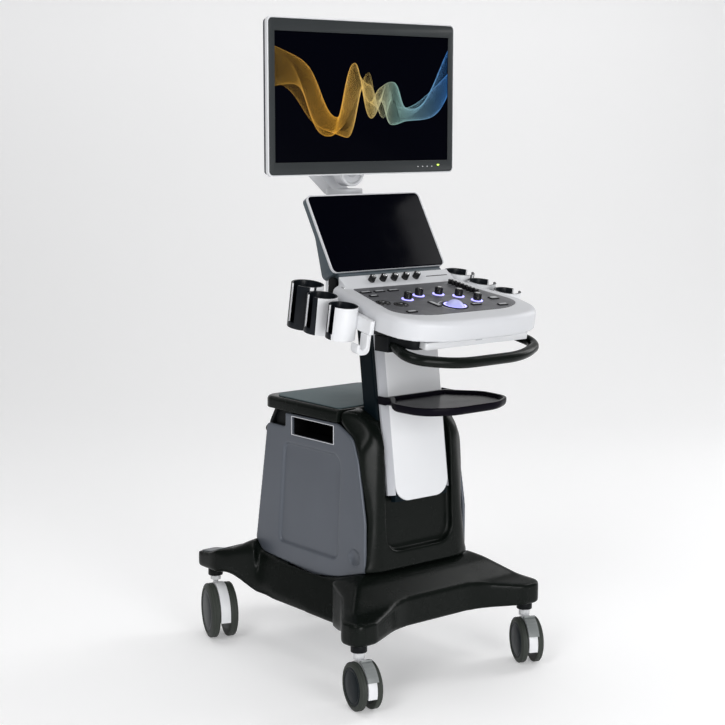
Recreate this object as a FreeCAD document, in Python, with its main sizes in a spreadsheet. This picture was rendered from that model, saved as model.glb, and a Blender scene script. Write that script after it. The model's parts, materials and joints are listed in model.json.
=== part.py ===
import FreeCAD, Part
import Sketcher
import math
import os

# Cart-based ultrasound scanner, in millimetres.
# Frame: +X to the operator's right, -Y towards the operator, +Z up, floor at Z = 0.
# The origin is on the floor, midway between the ends of the base and the push handle.

Vector = FreeCAD.Vector
Placement = FreeCAD.Placement
Rotation = FreeCAD.Rotation
X_AXIS = Vector(1, 0, 0)
Y_AXIS = Vector(0, 1, 0)
Z_AXIS = Vector(0, 0, 1)

doc = FreeCAD.newDocument("ultrasound_machine")

# ---------------------------------------------------------------- driving dimensions
DIMENSIONS = {
    # casters
    "FrontWheelRadius": 50.0,
    "RearWheelRadius": 62.5,
    "FrontTwinWidth": 52.0,
    "RearTwinWidth": 63.0,
    "FrontStripWidth": 19.0,
    "RearStripWidth": 22.0,
    "FrontTrail": 18.0,
    "RearTrail": 35.0,
    "AxleRadius": 4.0,
    "StemRadius": 6.0,
    "RunningGap": 0.05,
    "PedalKnuckle": 2.4,
    "FrontSwivelHalf": 234.0,
    "RearSwivelHalf": 184.0,
    # base and body
    "FrontLegBottom": 131.0,
    "RearLegBottom": 152.0,
    "BaseTop": 238.0,
    "BodyHalf": 145.0,
    "PanelOuter": 143.0,
    "PanelThick": 8.0,
    "LidBottom": 548.0,
    "LidThick": 26.0,
    "LidHalf": 147.0,
    "MatThick": 3.0,
    # column
    "ColumnLean": 7.4,
    "CoverHalf": 73.0,
    "ColumnHalf": 85.0,
    "ColumnDepth": 75.0,
    "CoverThick": 6.0,
    "ShelfThick": 18.0,
    # console
    "ConsoleSlope": 10.3,
    "ShellThick": 42.0,
    "PlateThick": 3.0,
    "CupWall": 4.0,
    "HandleRadius": 11.0,
    "BallRadius": 22.0,
    "KnobRadius": 9.0,
    "KnobHeight": 15.0,
    "DrawerHalf": 140.0,
    # touch screen
    "TouchRecline": 30.7,
    "TouchHalf": 156.0,
    "GlassHalf": 152.5,
    "GlassHeight": 178.0,
    "BarrelRadius": 21.0,
    # monitor and arm
    "MonitorHalf": 255.5,
    "MonitorHalfHeight": 162.5,
    "ScreenHalf": 238.3,
    "ScreenHalfHeight": 134.0,
    "PostRadius": 41.5,
    "HeadRadius": 32.0,
}

sheet = doc.addObject("Spreadsheet::Sheet", "dims")
for row, (alias, number) in enumerate(DIMENSIONS.items(), start=1):
    sheet.set(f"A{row}", alias)
    sheet.set(f"B{row}", str(number))
    sheet.setAlias(f"B{row}", alias)
doc.recompute()

sub_parts = []


def dim(alias):
    """A driving dimension as a plain number."""
    return DIMENSIONS[alias]


def apply_size(thing, prop, size):
    """Set a property from a number, or bind it to an expression on the sheet."""
    if isinstance(size, str):
        thing.setExpression(prop, size)
    else:
        setattr(thing, prop, size)


def sub_part(label, thing, placement=None):
    """Name a finished object as a sub-part, and place it."""
    thing.Label = label
    if placement is not None:
        thing.Placement = placement.multiply(thing.Placement)
    sub_parts.append(thing)
    return thing


# ---------------------------------------------------------------- Part primitives
def box(x, y, z, placement=None):
    """A box between low and high corners: x, y and z are (low, high) numbers."""
    solid = doc.addObject("Part::Box", "box")
    solid.Length = x[1] - x[0]
    solid.Width = y[1] - y[0]
    solid.Height = z[1] - z[0]
    low = Placement(Vector(x[0], y[0], z[0]), Rotation())
    solid.Placement = placement.multiply(low) if placement else low
    return solid


def cylinder(radius, height, at, axis="Z"):
    """A cylinder that starts at the point and runs along +X, +Y or +Z."""
    solid = doc.addObject("Part::Cylinder", "cylinder")
    apply_size(solid, "Radius", radius)
    apply_size(solid, "Height", height)
    turns = {
        "X": Rotation(Y_AXIS, 90),
        "Y": Rotation(X_AXIS, -90),
        "Z": Rotation(),
    }
    solid.Placement = Placement(Vector(*at), turns[axis])
    return solid


def sphere(radius, at):
    solid = doc.addObject("Part::Sphere", "sphere")
    apply_size(solid, "Radius", radius)
    solid.Placement = Placement(Vector(*at), Rotation())
    return solid


def fuse(*solids):
    joined = doc.addObject("Part::MultiFuse", "fuse")
    joined.Shapes = list(solids)
    return joined


def common(*solids):
    shared = doc.addObject("Part::MultiCommon", "common")
    shared.Shapes = list(solids)
    return shared


def cut(base, *tools):
    result = doc.addObject("Part::Cut", "cut")
    result.Base = base
    result.Tool = tools[0] if len(tools) == 1 else fuse(*tools)
    return result


def group(*solids):
    """Separate solids of one kind that share a node."""
    bundle = doc.addObject("Part::Compound", "group")
    bundle.Links = list(solids)
    return bundle


# ---------------------------------------------------------------- sketched bodies
def new_body():
    return doc.addObject("PartDesign::Body", "body")


def draw_outline(sketch, points):
    """Draw a closed outline of lines; a point's third number rounds its corner."""
    count = len(points)
    ends = []
    for index in range(count):
        here = Vector(points[index][0], points[index][1], 0)
        radius = points[index][2] if len(points[index]) > 2 else 0
        back = Vector(points[index - 1][0], points[index - 1][1], 0) - here
        ahead = Vector(points[(index + 1) % count][0], points[(index + 1) % count][1], 0) - here
        if not radius:
            ends.append((here, None, here))
            continue
        back.normalize()
        ahead.normalize()
        half_angle = back.getAngle(ahead) / 2
        reach = radius / math.tan(half_angle)
        towards = (back + ahead).normalize()
        middle = here + towards * (radius / math.sin(half_angle) - radius)
        ends.append((here + back * reach, middle, here + ahead * reach))
    edges = []
    for index, (start, middle, finish) in enumerate(ends):
        if middle is not None:
            edges.append(Part.Arc(start, middle, finish))
        following = ends[(index + 1) % count][0]
        if (following - finish).Length > 1e-6:
            edges.append(Part.LineSegment(finish, following))
    sketch.addGeometry(edges, False)


def add_sketch(body, plane, points=None, circles=(), offset=0.0, more=()):
    """A sketch on one of the body's own origin planes, moved along its normal."""
    sketch = body.newObject("Sketcher::SketchObject", "sketch")
    faces = [item for item in body.Origin.OriginFeatures if item.Role == plane]
    sketch.AttachmentSupport = [(faces[0], "")]
    sketch.MapMode = "FlatFace"
    sketch.AttachmentOffset = Placement(Vector(0, 0, offset), Rotation())
    if points:
        draw_outline(sketch, points)
    for extra in more:
        draw_outline(sketch, extra)
    for x, y, radius in circles:
        sketch.addGeometry(Part.Circle(Vector(x, y, 0), Z_AXIS, radius), False)
    doc.recompute()
    return sketch


def pad(body, sketch, length, midplane=False, flipped=False):
    feature = body.newObject("PartDesign::Pad", "pad")
    feature.Profile = sketch
    apply_size(feature, "Length", length)
    feature.Midplane = midplane
    feature.Reversed = flipped
    doc.recompute()
    return feature


def pocket(body, sketch, length, midplane=False, flipped=False):
    """Cut a pocket, and stop if it points away from the solid."""
    before = body.Shape.Volume
    feature = body.newObject("PartDesign::Pocket", "pocket")
    feature.Profile = sketch
    apply_size(feature, "Length", length)
    feature.Midplane = midplane
    feature.Reversed = flipped
    doc.recompute()
    if feature.Shape.Volume > before - 1:
        raise RuntimeError(f"pocket cuts nothing in {body.Label}")
    return feature


def fillet(body, feature, radius, choose):
    """Round the edges of a feature for which choose(edge) is true."""
    names = [f"Edge{i}" for i, edge in enumerate(feature.Shape.Edges, start=1) if choose(edge)]
    rounded = body.newObject("PartDesign::Fillet", "fillet")
    rounded.Base = (feature, names)
    apply_size(rounded, "Radius", radius)
    doc.recompute()
    return rounded


def prism(plane, points, length, midplane=False, flipped=False, offset=0.0):
    """A body that is one padded outline."""
    body = new_body()
    sketch = add_sketch(body, plane, points, offset=offset)
    pad(body, sketch, length, midplane, flipped)
    return body


def revolved(plane, points, axis):
    """A body that is one outline turned a full circle about a sketch axis."""
    body = new_body()
    sketch = add_sketch(body, plane, points)
    feature = body.newObject("PartDesign::Revolution", "revolution")
    feature.Profile = sketch
    feature.ReferenceAxis = (sketch, [axis])
    feature.Angle = 360
    doc.recompute()
    return body


def mirrored(points):
    """A full outline from its right half, listed from the back to the front."""
    left = [(-x, *rest) for x, *rest in reversed(points)]
    return points + left


def rectangle(x, y, radius=0.0):
    return [
        (x[0], y[0], radius),
        (x[1], y[0], radius),
        (x[1], y[1], radius),
        (x[0], y[1], radius),
    ]


# ---------------------------------------------------------------- shared frames
# The column leans back; its frame's origin is on the front face and +Z runs up the lean.
COLUMN_ORIGIN = Vector(0, -135, 698)
column_frame = Placement(COLUMN_ORIGIN, Rotation(X_AXIS, -dim("ColumnLean")))

# The control deck slopes up to the rear; its frame's origin is on the deck's face.
CONSOLE_ORIGIN = Vector(0, -202, 816)
console_frame = Placement(CONSOLE_ORIGIN, Rotation(X_AXIS, dim("ConsoleSlope")))

# The touch screen leans back; its frame's origin is at the middle of the glass's lower edge.
TOUCH_ORIGIN = Vector(0, -67, 863)
touch_frame = Placement(TOUCH_ORIGIN, Rotation(X_AXIS, -dim("TouchRecline")))
TOUCH_HINGE = (22.0, -12.0)
HINGE_ON_CONSOLE = console_frame.inverse().multVec(
    touch_frame.multVec(Vector(0, *TOUCH_HINGE))
)

GAP = 0.4
SOCKET_HEIGHT = 15.5
FRONT_SWIVEL_Y = -247.0
REAR_SWIVEL_Y = 343.0
CASTERS = {
    "fl": ("Front", -dim("FrontSwivelHalf"), FRONT_SWIVEL_Y, -14.1),
    "fr": ("Front", dim("FrontSwivelHalf"), FRONT_SWIVEL_Y, -26.2),
    "rl": ("Rear", -dim("RearSwivelHalf"), REAR_SWIVEL_Y, -20.3),
    "rr": ("Rear", dim("RearSwivelHalf"), REAR_SWIVEL_Y, -20.3),
}


# ---------------------------------------------------------------- casters
def caster_frame(tag):
    """Origin on the floor under the swivel, with the wheels trailing towards -Y."""
    _, x, y, yaw = CASTERS[tag]
    return Placement(Vector(x, y, 0), Rotation(Z_AXIS, yaw))


def make_caster(tag):
    size = CASTERS[tag][0]
    radius = dim(size + "WheelRadius")
    trail = dim(size + "Trail")
    half_strip = dim(size + "StripWidth") / 2
    half_twin = dim(size + "TwinWidth") / 2
    leg_bottom = dim(size + "LegBottom")
    place = caster_frame(tag)
    hub = (0, -trail, radius)

    # twin wheels on one axle, turned about the axle's line
    inner = half_strip + 0.6
    tread = 0.82 * radius
    half_profile = [
        (-half_twin, 0),
        (-half_twin, tread),
        (-half_twin + 4, radius, 3),
        (-inner, radius),
        (-inner, dim("AxleRadius")),
        (inner, dim("AxleRadius")),
        (inner, radius),
        (half_twin - 4, radius, 3),
        (half_twin, tread),
        (half_twin, 0),
    ]
    wheels = revolved("XY_Plane", half_profile, "H_Axis")
    at_hub = place.multiply(Placement(Vector(*hub), Rotation()))
    sub_part(f"caster_{tag}_wheels", wheels, at_hub)

    # hood between the wheels, with the swivel neck and stem
    hood_radius = radius + 1.5
    disc = cylinder(hood_radius, f"dims.{size}StripWidth", (-half_strip, -trail, radius), "X")
    keep = box((-20, 20), (-trail - 70, -trail + 70), (radius - 15, 2 * radius + 5))
    hood = common(disc, keep)
    neck_top = leg_bottom - SOCKET_HEIGHT - GAP
    neck_bottom = 2 * radius + 1.4
    neck = cylinder(12.0, neck_top - neck_bottom, (0, 0, neck_bottom))
    stem = cylinder("dims.StemRadius", leg_bottom + 25 - radius, (0, 0, radius))
    bore = cylinder("dims.AxleRadius + dims.RunningGap", 60.0, (-30, -trail, radius), "X")
    housing = cut(fuse(hood, neck, stem), bore)
    sub_part(f"caster_{tag}_housing", housing, place)


PEDAL_ARC = 55.0
PEDAL_START = 22.0


def make_pedal(tag):
    """A curved foot plate over the front of the hood, hinged at its upper end."""
    radius = dim("FrontWheelRadius")
    hub = Vector(0, -dim("FrontTrail"), radius)
    outer = cylinder(radius + 7.0, 24.0, (0, 0, 0))
    outer.Angle = PEDAL_ARC
    inner = cylinder(radius + 3.0, 30.0, (0, 0, -3))
    plate = cut(outer, inner)
    # the wedge starts at the plate's upper edge and runs down towards the front
    lip_angle = math.radians(PEDAL_START + PEDAL_ARC)
    upper = Vector(0, -math.cos(lip_angle), math.sin(lip_angle))
    facing = Rotation(upper, Vector(), X_AXIS, "ZXY")
    plate.Placement = Placement(hub + Vector(-12, 0, 0), facing)
    lip_at = hub + upper * (radius + 4.5)
    lip = box((-12, 12), (-9, 0), (-1.5, 2.5), Placement(lip_at, Rotation(X_AXIS, -25)))
    knuckle = cylinder("dims.PedalKnuckle", 24.0, (-12, lip_at.y, lip_at.z), "X")
    sub_part(f"caster_{tag}_pedal", fuse(plate, lip, knuckle), caster_frame(tag))


def make_sockets():
    """Collars under the leg ends that the caster stems turn in."""
    collars = []
    for size, x, y, _ in CASTERS.values():
        bottom = dim(size + "LegBottom") - SOCKET_HEIGHT
        collar = cylinder(17.0, SOCKET_HEIGHT, (x, y, bottom))
        bore = cylinder("dims.StemRadius + dims.RunningGap", 40.0, (x, y, bottom - 10))
        collars.append(cut(collar, bore))
    sub_part("caster_sockets", group(*collars))


for caster_tag in CASTERS:
    make_caster(caster_tag)
for pedal_tag in ("fl", "fr"):
    make_pedal(pedal_tag)
make_sockets()


# ---------------------------------------------------------------- base
# The side panels' lower edges dip into the base; the base has a notch 0.5 mm larger.
PANEL_FOOT = [(214, 214, 30), (22, 199, 80), (-62, 213, 60)]
PANEL_NOTCH = [
    (245, 245),
    (214.5, 213.4, 30),
    (22, 198.5, 80),
    (-62, 212.5, 60),
    (-153, 237.4),
    (-153, 245),
]
WAIST_PLAN = [(140, -158), (236, -36), (236, 122), (140, 238)]
WAIST_SECTION = [(149, 250), (149, 214), (176, 118), (240, 118), (240, 250)]


def make_base():
    """Moulded base: the plan, the side view and the front view, each padded, then intersected."""
    top = dim("BaseTop")
    half_plan = [
        (58, 272, 60),
        (126, 300, 60),
        (150, 386, 14),
        (180, 393, 12),
        (207, 386, 16),
        (209, 318, 60),
        (170, 190, 120),
        (174, -60, 150),
        (210, -165, 100),
        (264, -225, 24),
        (262, -276, 24),
        (208, -274, 22),
        (110, -226, 160),
    ]
    plan = prism("XY_Plane", mirrored(half_plan), 160.0, offset=100.0)
    side = prism(
        "YZ_Plane",
        [
            (-290, 131),
            (-205, 131, 60),
            (-120, 120, 60),
            (205, 120, 60),
            (285, 152, 60),
            (410, 152),
            (410, 184),
            (340, 193, 60),
            (262, 222, 60),
            (240, top, 10),
            (-150, top, 30),
            (-180, 224, 60),
            (-232, 188, 60),
            (-290, 172),
        ],
        600.0,
        midplane=True,
    )
    front = prism(
        "XZ_Plane",
        [
            (-290, 100),
            (290, 100),
            (290, 166),
            (236, 188, 60),
            (182, 226, 40),
            (158, top, 10),
            (-158, top, 10),
            (-182, 226, 40),
            (-236, 188, 60),
            (-290, 166),
        ],
        900.0,
        midplane=True,
    )
    moulding = common(plan, side, front)
    belly = box((-145, 145), (-135, 225), (90, 205))
    waists = []
    for sign in (-1, 1):
        span = [(sign * x, y) for x, y in WAIST_PLAN]
        beside = prism("XY_Plane", span, 160.0, offset=100.0)
        section = [(sign * x, z) for x, z in WAIST_SECTION]
        waists.append(common(beside, prism("XZ_Plane", section, 900.0, midplane=True)))
        notch_x = 134.2 if sign > 0 else -150.2
        waists.append(prism("YZ_Plane", PANEL_NOTCH, 16.0, offset=notch_x))
    wells = []
    for size, x, y, _ in CASTERS.values():
        wells.append(cylinder(7.5, 30.0, (x, y, dim(size + "LegBottom") - 2)))
    sub_part("base_cover", cut(moulding, belly, *waists, *wells))
    plate_outline = rectangle((-138, 138), (-128, 218), 12)
    sub_part("ballast_plate", prism("XY_Plane", plate_outline, 34.0, offset=160.0))


make_base()


# ---------------------------------------------------------------- body
LEDGE_Y = 123.0
LEDGE_Z = 512.0
PANEL_OUTLINE = [
    (-152.5, 239),
    (-152.5, 348, 120),
    (-130, 474, 60),
    (-112, 520, 40),
    (-61, 545, 30),
    (LEDGE_Y, 543),
    (LEDGE_Y, LEDGE_Z, 5),
    (191, LEDGE_Z, 8),
    (213, 383, 120),
    (238, 239),
    *PANEL_FOOT,
]
BAY_Y = (-49.0, 98.0)
BAY_Z = (499.0, 538.0)


def column_face(z):
    """Y of the column's front face at a height."""
    return COLUMN_ORIGIN.y - (COLUMN_ORIGIN.z - z) * math.tan(math.radians(dim("ColumnLean")))


def corner_trim(sign, on_side, on_face, higher):
    """Block whose inner face passes through three points, to slope off a front corner."""
    start, along, third = (Vector(sign * x, y, z) for x, y, z in (on_side, on_face, higher))
    run = (along - start).normalize()
    outward = (third - start).cross(run).normalize() * sign
    facing = Placement(start, Rotation(run, Vector(), outward, "ZXY"))
    return box((-150, 150), (-500, 500), (0, 150), facing)


def make_front_cover():
    """Front moulding that arches over the body, with the channel the column slides in."""
    arch = [
        (-169, 239),
        (-155, 575, 85),
        (-66, 575),
        (-66, 544.5),
        (-113.5, 521, 30),
        (-131.5, 474.5, 59),
        (-154, 348.5, 119),
        (-154, 239),
    ]
    sides = prism("YZ_Plane", arch, "2 * dims.BodyHalf", midplane=True)
    middle_outline = [
        (-168, 239),
        (-154.5, 570, 80),
        (-80, 570),
        (-80, 520, 30),
        (-126, 420, 60),
        (-126, 239),
    ]
    middle = prism("YZ_Plane", middle_outline, 268.0, midplane=True)
    half_front = [(145, -20), (145, -158, 9), (107, -170, 60)]
    front = prism("XY_Plane", mirrored(half_front), 400.0, offset=200.0)
    dish = [
        (-230, 278),
        (-153, 278, 12),
        (-147, 430, 100),
        (column_face(560) + 22.5, 560),
        (-70, 560),
        (-70, 600),
        (-230, 600),
    ]
    channel = prism("YZ_Plane", dish, 184.0, midplane=True)
    dish_front = [(-92, 278, 38), (92, 278, 38), (92, 620), (-92, 620)]
    channel_front = prism("XZ_Plane", dish_front, 400.0, midplane=True)
    shaft = box((-88, 88), (26.5, 78.5), (-305, 30), column_frame)
    spring_bay = box((-14, 14), (45, 72), (-400, -200), column_frame)
    moulding = common(fuse(sides, middle), front)
    recess = common(channel, channel_front)
    trims = []
    for sign in (-1, 1):
        trims.append(corner_trim(sign, (145, -155, 239), (120, -170, 239), (106, -160, 474)))
        trims.append(corner_trim(sign, (145, -127, 500), (98, -211, 500), (145, -66, 566)))
    sub_part("front_cover", cut(moulding, recess, shaft, spring_bay, *trims))


def make_side_panels():
    """Painted side panels: bay opening, shallow recess and a round dimple in each."""
    for side, sign in (("left", -1), ("right", 1)):
        inner = dim("PanelOuter") - dim("PanelThick")
        start = inner if sign > 0 else -dim("PanelOuter")
        panel = new_body()
        outline = add_sketch(panel, "YZ_Plane", PANEL_OUTLINE, offset=start)
        pad(panel, outline, "dims.PanelThick")
        bay = rectangle(BAY_Y, BAY_Z)
        hole = add_sketch(panel, "YZ_Plane", bay, offset=sign * dim("PanelOuter"))
        pocket(panel, hole, 2 * dim("PanelThick"), midplane=True)
        dent = [(-60, 250, 14), (-74, 478, 26), (128, 478, 20), (150, 250, 14)]
        face = add_sketch(panel, "YZ_Plane", dent, offset=sign * dim("PanelOuter"))
        pocket(panel, face, 10.4, midplane=True)
        dimple = sphere(30.0, (sign * (dim("PanelOuter") + 23), -119, 267))
        sub_part(f"side_panel_{side}", cut(panel, dimple))


def make_rear_cover():
    """Rear cover, the walls behind the side panels' rear ledges, and two cord studs."""
    outer = [(238, 239), (213, 383, 120), (193, 512, 60), (172, 545)]
    inner = [(162, 545), (184, 511, 60), (204, 382, 120), (229, 239)]
    pieces = [prism("YZ_Plane", outer + inner, 269.0, midplane=True)]
    for sign in (-1, 1):
        wall_x = sorted((sign * 120, sign * 128))
        floor_x = sorted((sign * 120, sign * 134.5))
        pieces.append(box(wall_x, (LEDGE_Y - 5, 175), (500, 547.5)))
        pieces.append(box(floor_x, (LEDGE_Y - 5, 187), (500, LEDGE_Z - 2)))
        pieces.append(cylinder(6.0, 26.0, (sign * 118, 188, 493), "Y"))
        pieces.append(cylinder(9.0, 7.0, (sign * 118, 211, 493), "Y"))
    sub_part("rear_cover", fuse(*pieces))


def make_lid():
    half_lid = [(dim("LidHalf"), -65.5), (dim("LidHalf"), 206, 34)]
    lid = prism("XY_Plane", mirrored(half_lid), "dims.LidThick", offset=dim("LidBottom"))
    top = dim("LidBottom") + dim("LidThick")

    def upper_rim(edge):
        return edge.BoundBox.ZMin > top - 0.1 and edge.BoundBox.YMax > -60

    fillet(lid, lid.Tip, 9.0, upper_rim)
    sub_part("top_lid", lid)
    half_mat = [(133, -54, 8), (133, 184, 36)]
    mat = prism("XY_Plane", mirrored(half_mat), "dims.MatThick", offset=top)
    sub_part("top_mat", mat)


def make_internals():
    """Power supply, card cage and the two open trays behind the side bays."""
    footprint = rectangle((-105, 105), (-30, 160))
    sub_part("power_supply", prism("XY_Plane", footprint, 52.0, offset=238.5))
    sub_part("card_cage", prism("XY_Plane", footprint, 200.0, offset=291.0))
    trays = []
    for sign in (-1, 1):
        span = sorted((sign * 84, sign * 134.5))
        hollow = sorted((sign * 87, sign * 140))
        outside = box(span, (BAY_Y[0] - 3, BAY_Y[1] + 3), (BAY_Z[0] - 3, BAY_Z[1] + 3))
        inside = box(hollow, BAY_Y, BAY_Z)
        trays.append(cut(outside, inside))
    sub_part("bay_trays", group(*trays))


make_front_cover()
make_side_panels()
make_rear_cover()
make_lid()
make_internals()


# ---------------------------------------------------------------- column
SPRING_DEPTH = 58.0


def trimmed_top(shape):
    """Column pieces end on one level plane under the console."""
    return cut(shape, box((-200, 200), (-300, 100), (744, 900)))


def placed(thing, frame):
    """Put a shape made in a leaning frame into the row's frame."""
    thing.Placement = frame.multiply(thing.Placement)
    return thing


def make_column():
    lower = -315.0
    back = rectangle((-dim("ColumnHalf"), dim("ColumnHalf")), (28, dim("ColumnDepth")), 6)
    mast = new_body()
    pad(mast, add_sketch(mast, "XY_Plane", back, offset=-255), 330.0)
    cavity = rectangle((-78, 78), (33, 70), 3)
    pocket(mast, add_sketch(mast, "XY_Plane", cavity, offset=-255), 290.0, flipped=True)
    neck = box((-85, 85), (20.5, 28.5), (-95, 75))
    tongue = box((-72.5, 72.5), (6.3, 20.5), (lower, 75))
    shell = fuse(mast, neck, tongue)
    sub_part("column_shell", trimmed_top(placed(shell, column_frame)))

    strips = []
    for sign in (-1, 1):
        section = [(sign * 73.3, 0.8), (sign * 85, 14), (sign * 85, 20.3), (sign * 73.3, 20.3)]
        strips.append(prism("XY_Plane", section, 375.0, offset=-300))
    trims = group(*strips)
    sub_part("column_side_trims", trimmed_top(placed(trims, column_frame)))

    half = dim("CoverHalf")
    face = [(-half, lower, 36), (half, lower, 36), (half, 80), (-half, 80)]
    cover = prism("XZ_Plane", face, "dims.CoverThick", flipped=True)
    sub_part("column_cover", trimmed_top(placed(cover, column_frame)))


def make_shelf():
    """Dished tray with a clasp that wraps the column's edges."""
    outline = [
        (90, -152.5),
        (90, -172, 16),
        (128, -222, 50),
        (124, -306, 60),
        (60, -341, 90),
    ]
    tray = prism("XY_Plane", mirrored(outline), "dims.ShelfThick", offset=590.0)
    floor = [
        (70, -162, 6),
        (82, -180, 16),
        (119, -224, 44),
        (116, -302, 52),
        (57, -334, 84),
    ]
    dish = add_sketch(tray, "XY_Plane", mirrored(floor), offset=590.0 + dim("ShelfThick"))
    pocket(tray, dish, 6.0)

    def lower_rim(edge):
        return edge.BoundBox.ZMax < 590.1 and edge.BoundBox.YMax < -170

    fillet(tray, tray.Tip, 11.0, lower_rim)
    cheeks = [box(sorted((s * 85.6, s * 90)), (-156, -132), (590, 608)) for s in (-1, 1)]
    room = box((-85.6, 85.6), (-0.4, 100), (-200, 50), column_frame)
    sub_part("utility_shelf", cut(fuse(tray, *cheeks), room))


def make_gas_spring():
    """Counterbalance spring: the cylinder stays in the body, the rod rises with the column."""
    tube = cylinder(11.0, 215.0, (0, SPRING_DEPTH, -395))
    bore = cylinder(5.05, 212.0, (0, SPRING_DEPTH, -392))
    sub_part("gas_spring_cylinder", cut(tube, bore), column_frame)
    rod = cylinder(5.0, 364.0, (0, SPRING_DEPTH, -330))
    sub_part("gas_spring_rod", rod, column_frame)


make_column()
make_shelf()
make_gas_spring()


# ---------------------------------------------------------------- console
DECK_BACK = 96.0
PLATE_HALF = [(137, DECK_BACK, 6), (171, -78, 40), (112, -114, 120)]
WELL_HALF = [(130, DECK_BACK - 7, 6), (163, -74, 36), (108, -106, 110)]
BALL_AT = (0.0, -69.0)
KNOBS_AT = [(-72.0, -3.0), (-27.0, 15.0), (25.0, 12.0), (60.0, -12.0), (78.0, -50.0)]
ENCODERS_AT = [-75.0, -44.5, -14.0, 16.5, 47.0]
SLIDER_COUNT = 8
SLIDER_X = 116.0
SLIDERS_Y = [76.0 - 11.5 * index for index in range(SLIDER_COUNT)]
FASCIA = ((97.0, 0.5), (131.0, 17.5))
FASCIA_SLOPE = math.degrees(math.atan2(17.0, 34.0))

# square keys: x, y, width, depth; round keys: x, y, radius
SQUARE_KEYS = [
    (-129, 64, 26, 9),
    (-93, 63, 26, 9),
    (-57, 62, 26, 9),
    (-130, 36, 20, 9),
    (-129, -84, 24, 10),
    (-39, -50, 12, 34),
    (53, -75, 24, 10),
    (129, -46, 22, 14),
    (112, -92, 24, 10),
]
ROUND_KEYS = [(-144, -12, 11.5), (-114, -33, 11.5)]
KEY_TOP = 2.2
KEY_BOTTOM = -1.0


def key_shapes(grow, low, high):
    """The key tops as solids, grown sideways to cut their wells."""
    solids = []
    for x, y, width, depth in SQUARE_KEYS:
        half_x = width / 2 + grow
        half_y = depth / 2 + grow
        solids.append(box((x - half_x, x + half_x), (y - half_y, y + half_y), (low, high)))
    for x, y, radius in ROUND_KEYS:
        solids.append(cylinder(radius + grow, high - low, (x, y, low)))
    return solids


def slider_slot(y, grow):
    half_x = 10.0 + grow
    return box((SLIDER_X - half_x, SLIDER_X + half_x), (y - 1.0 - grow, y + 1.0 + grow), (-6, 2))


def fascia_frame(x):
    """Frame on the sloped fascia, +Z out of it."""
    middle_y = (FASCIA[0][0] + FASCIA[1][0]) / 2
    middle_z = (FASCIA[0][1] + FASCIA[1][1]) / 2
    return Placement(Vector(x, middle_y, middle_z), Rotation(X_AXIS, FASCIA_SLOPE))


def make_console_shell():
    half_shell = [
        (152, 140, 8),
        (164, 126, 16),
        (196, -62, 90),
        (184, -136, 75),
        (100, -170, 235),
    ]
    shell = new_body()
    deck = add_sketch(shell, "XY_Plane", mirrored(half_shell))
    pad(shell, deck, "dims.ShellThick", flipped=True)

    def upper_rim(edge):
        return edge.BoundBox.ZMin > -0.1 and edge.BoundBox.YMin < 120

    fillet(shell, shell.Tip, 12.0, upper_rim)
    (front_y, front_z), (back_y, back_z) = FASCIA
    wedge_outline = [(front_y, -20), (front_y, front_z), (back_y, back_z), (back_y, -20)]
    wedge = prism("YZ_Plane", wedge_outline, 300.0, midplane=True)
    plate_room = prism("XY_Plane", mirrored(PLATE_HALF), 6.0, midplane=True)
    well = prism("XY_Plane", mirrored(WELL_HALF), 10.0, flipped=True)
    ball_well = cylinder(24.0, 40.0, (*BALL_AT, -36))
    seat_at = (-165, HINGE_ON_CONSOLE.y, HINGE_ON_CONSOLE.z)
    seat = cylinder("dims.BarrelRadius + 1.3", 330.0, seat_at, "X")
    sockets = []
    for x in ENCODERS_AT:
        hole = cylinder("3 + dims.RunningGap", 20.0, (0, 0, 0))
        hole.Placement = fascia_frame(x).multiply(Placement(Vector(0, 0, -10), Rotation()))
        sockets.append(hole)
    body = cut(fuse(shell, wedge), plate_room, well, ball_well, seat, *sockets)
    sub_part("console_shell", body, console_frame)


def make_control_plate():
    """Foil-faced plate that sits in the shell with a thin line of clearance round it."""
    clear = 0.3
    (rear_x, rear_y, rear_radius), *others = PLATE_HALF
    half_plate = [(rear_x - clear, rear_y - clear, rear_radius)]
    half_plate += [(x - clear, y + clear, radius) for x, y, radius in others]
    plate = prism("XY_Plane", mirrored(half_plate), "dims.PlateThick", flipped=True)
    holes = [cylinder(21.6, 20.0, (*BALL_AT, -10))]
    holes += [cylinder("3 + dims.RunningGap", 20.0, (x, y, -10)) for x, y in KNOBS_AT]
    holes += [slider_slot(y, 0.5) for y in SLIDERS_Y]
    holes += key_shapes(0.4, -10, 5)
    sub_part("control_plate", cut(plate, *holes), console_frame)


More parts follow.
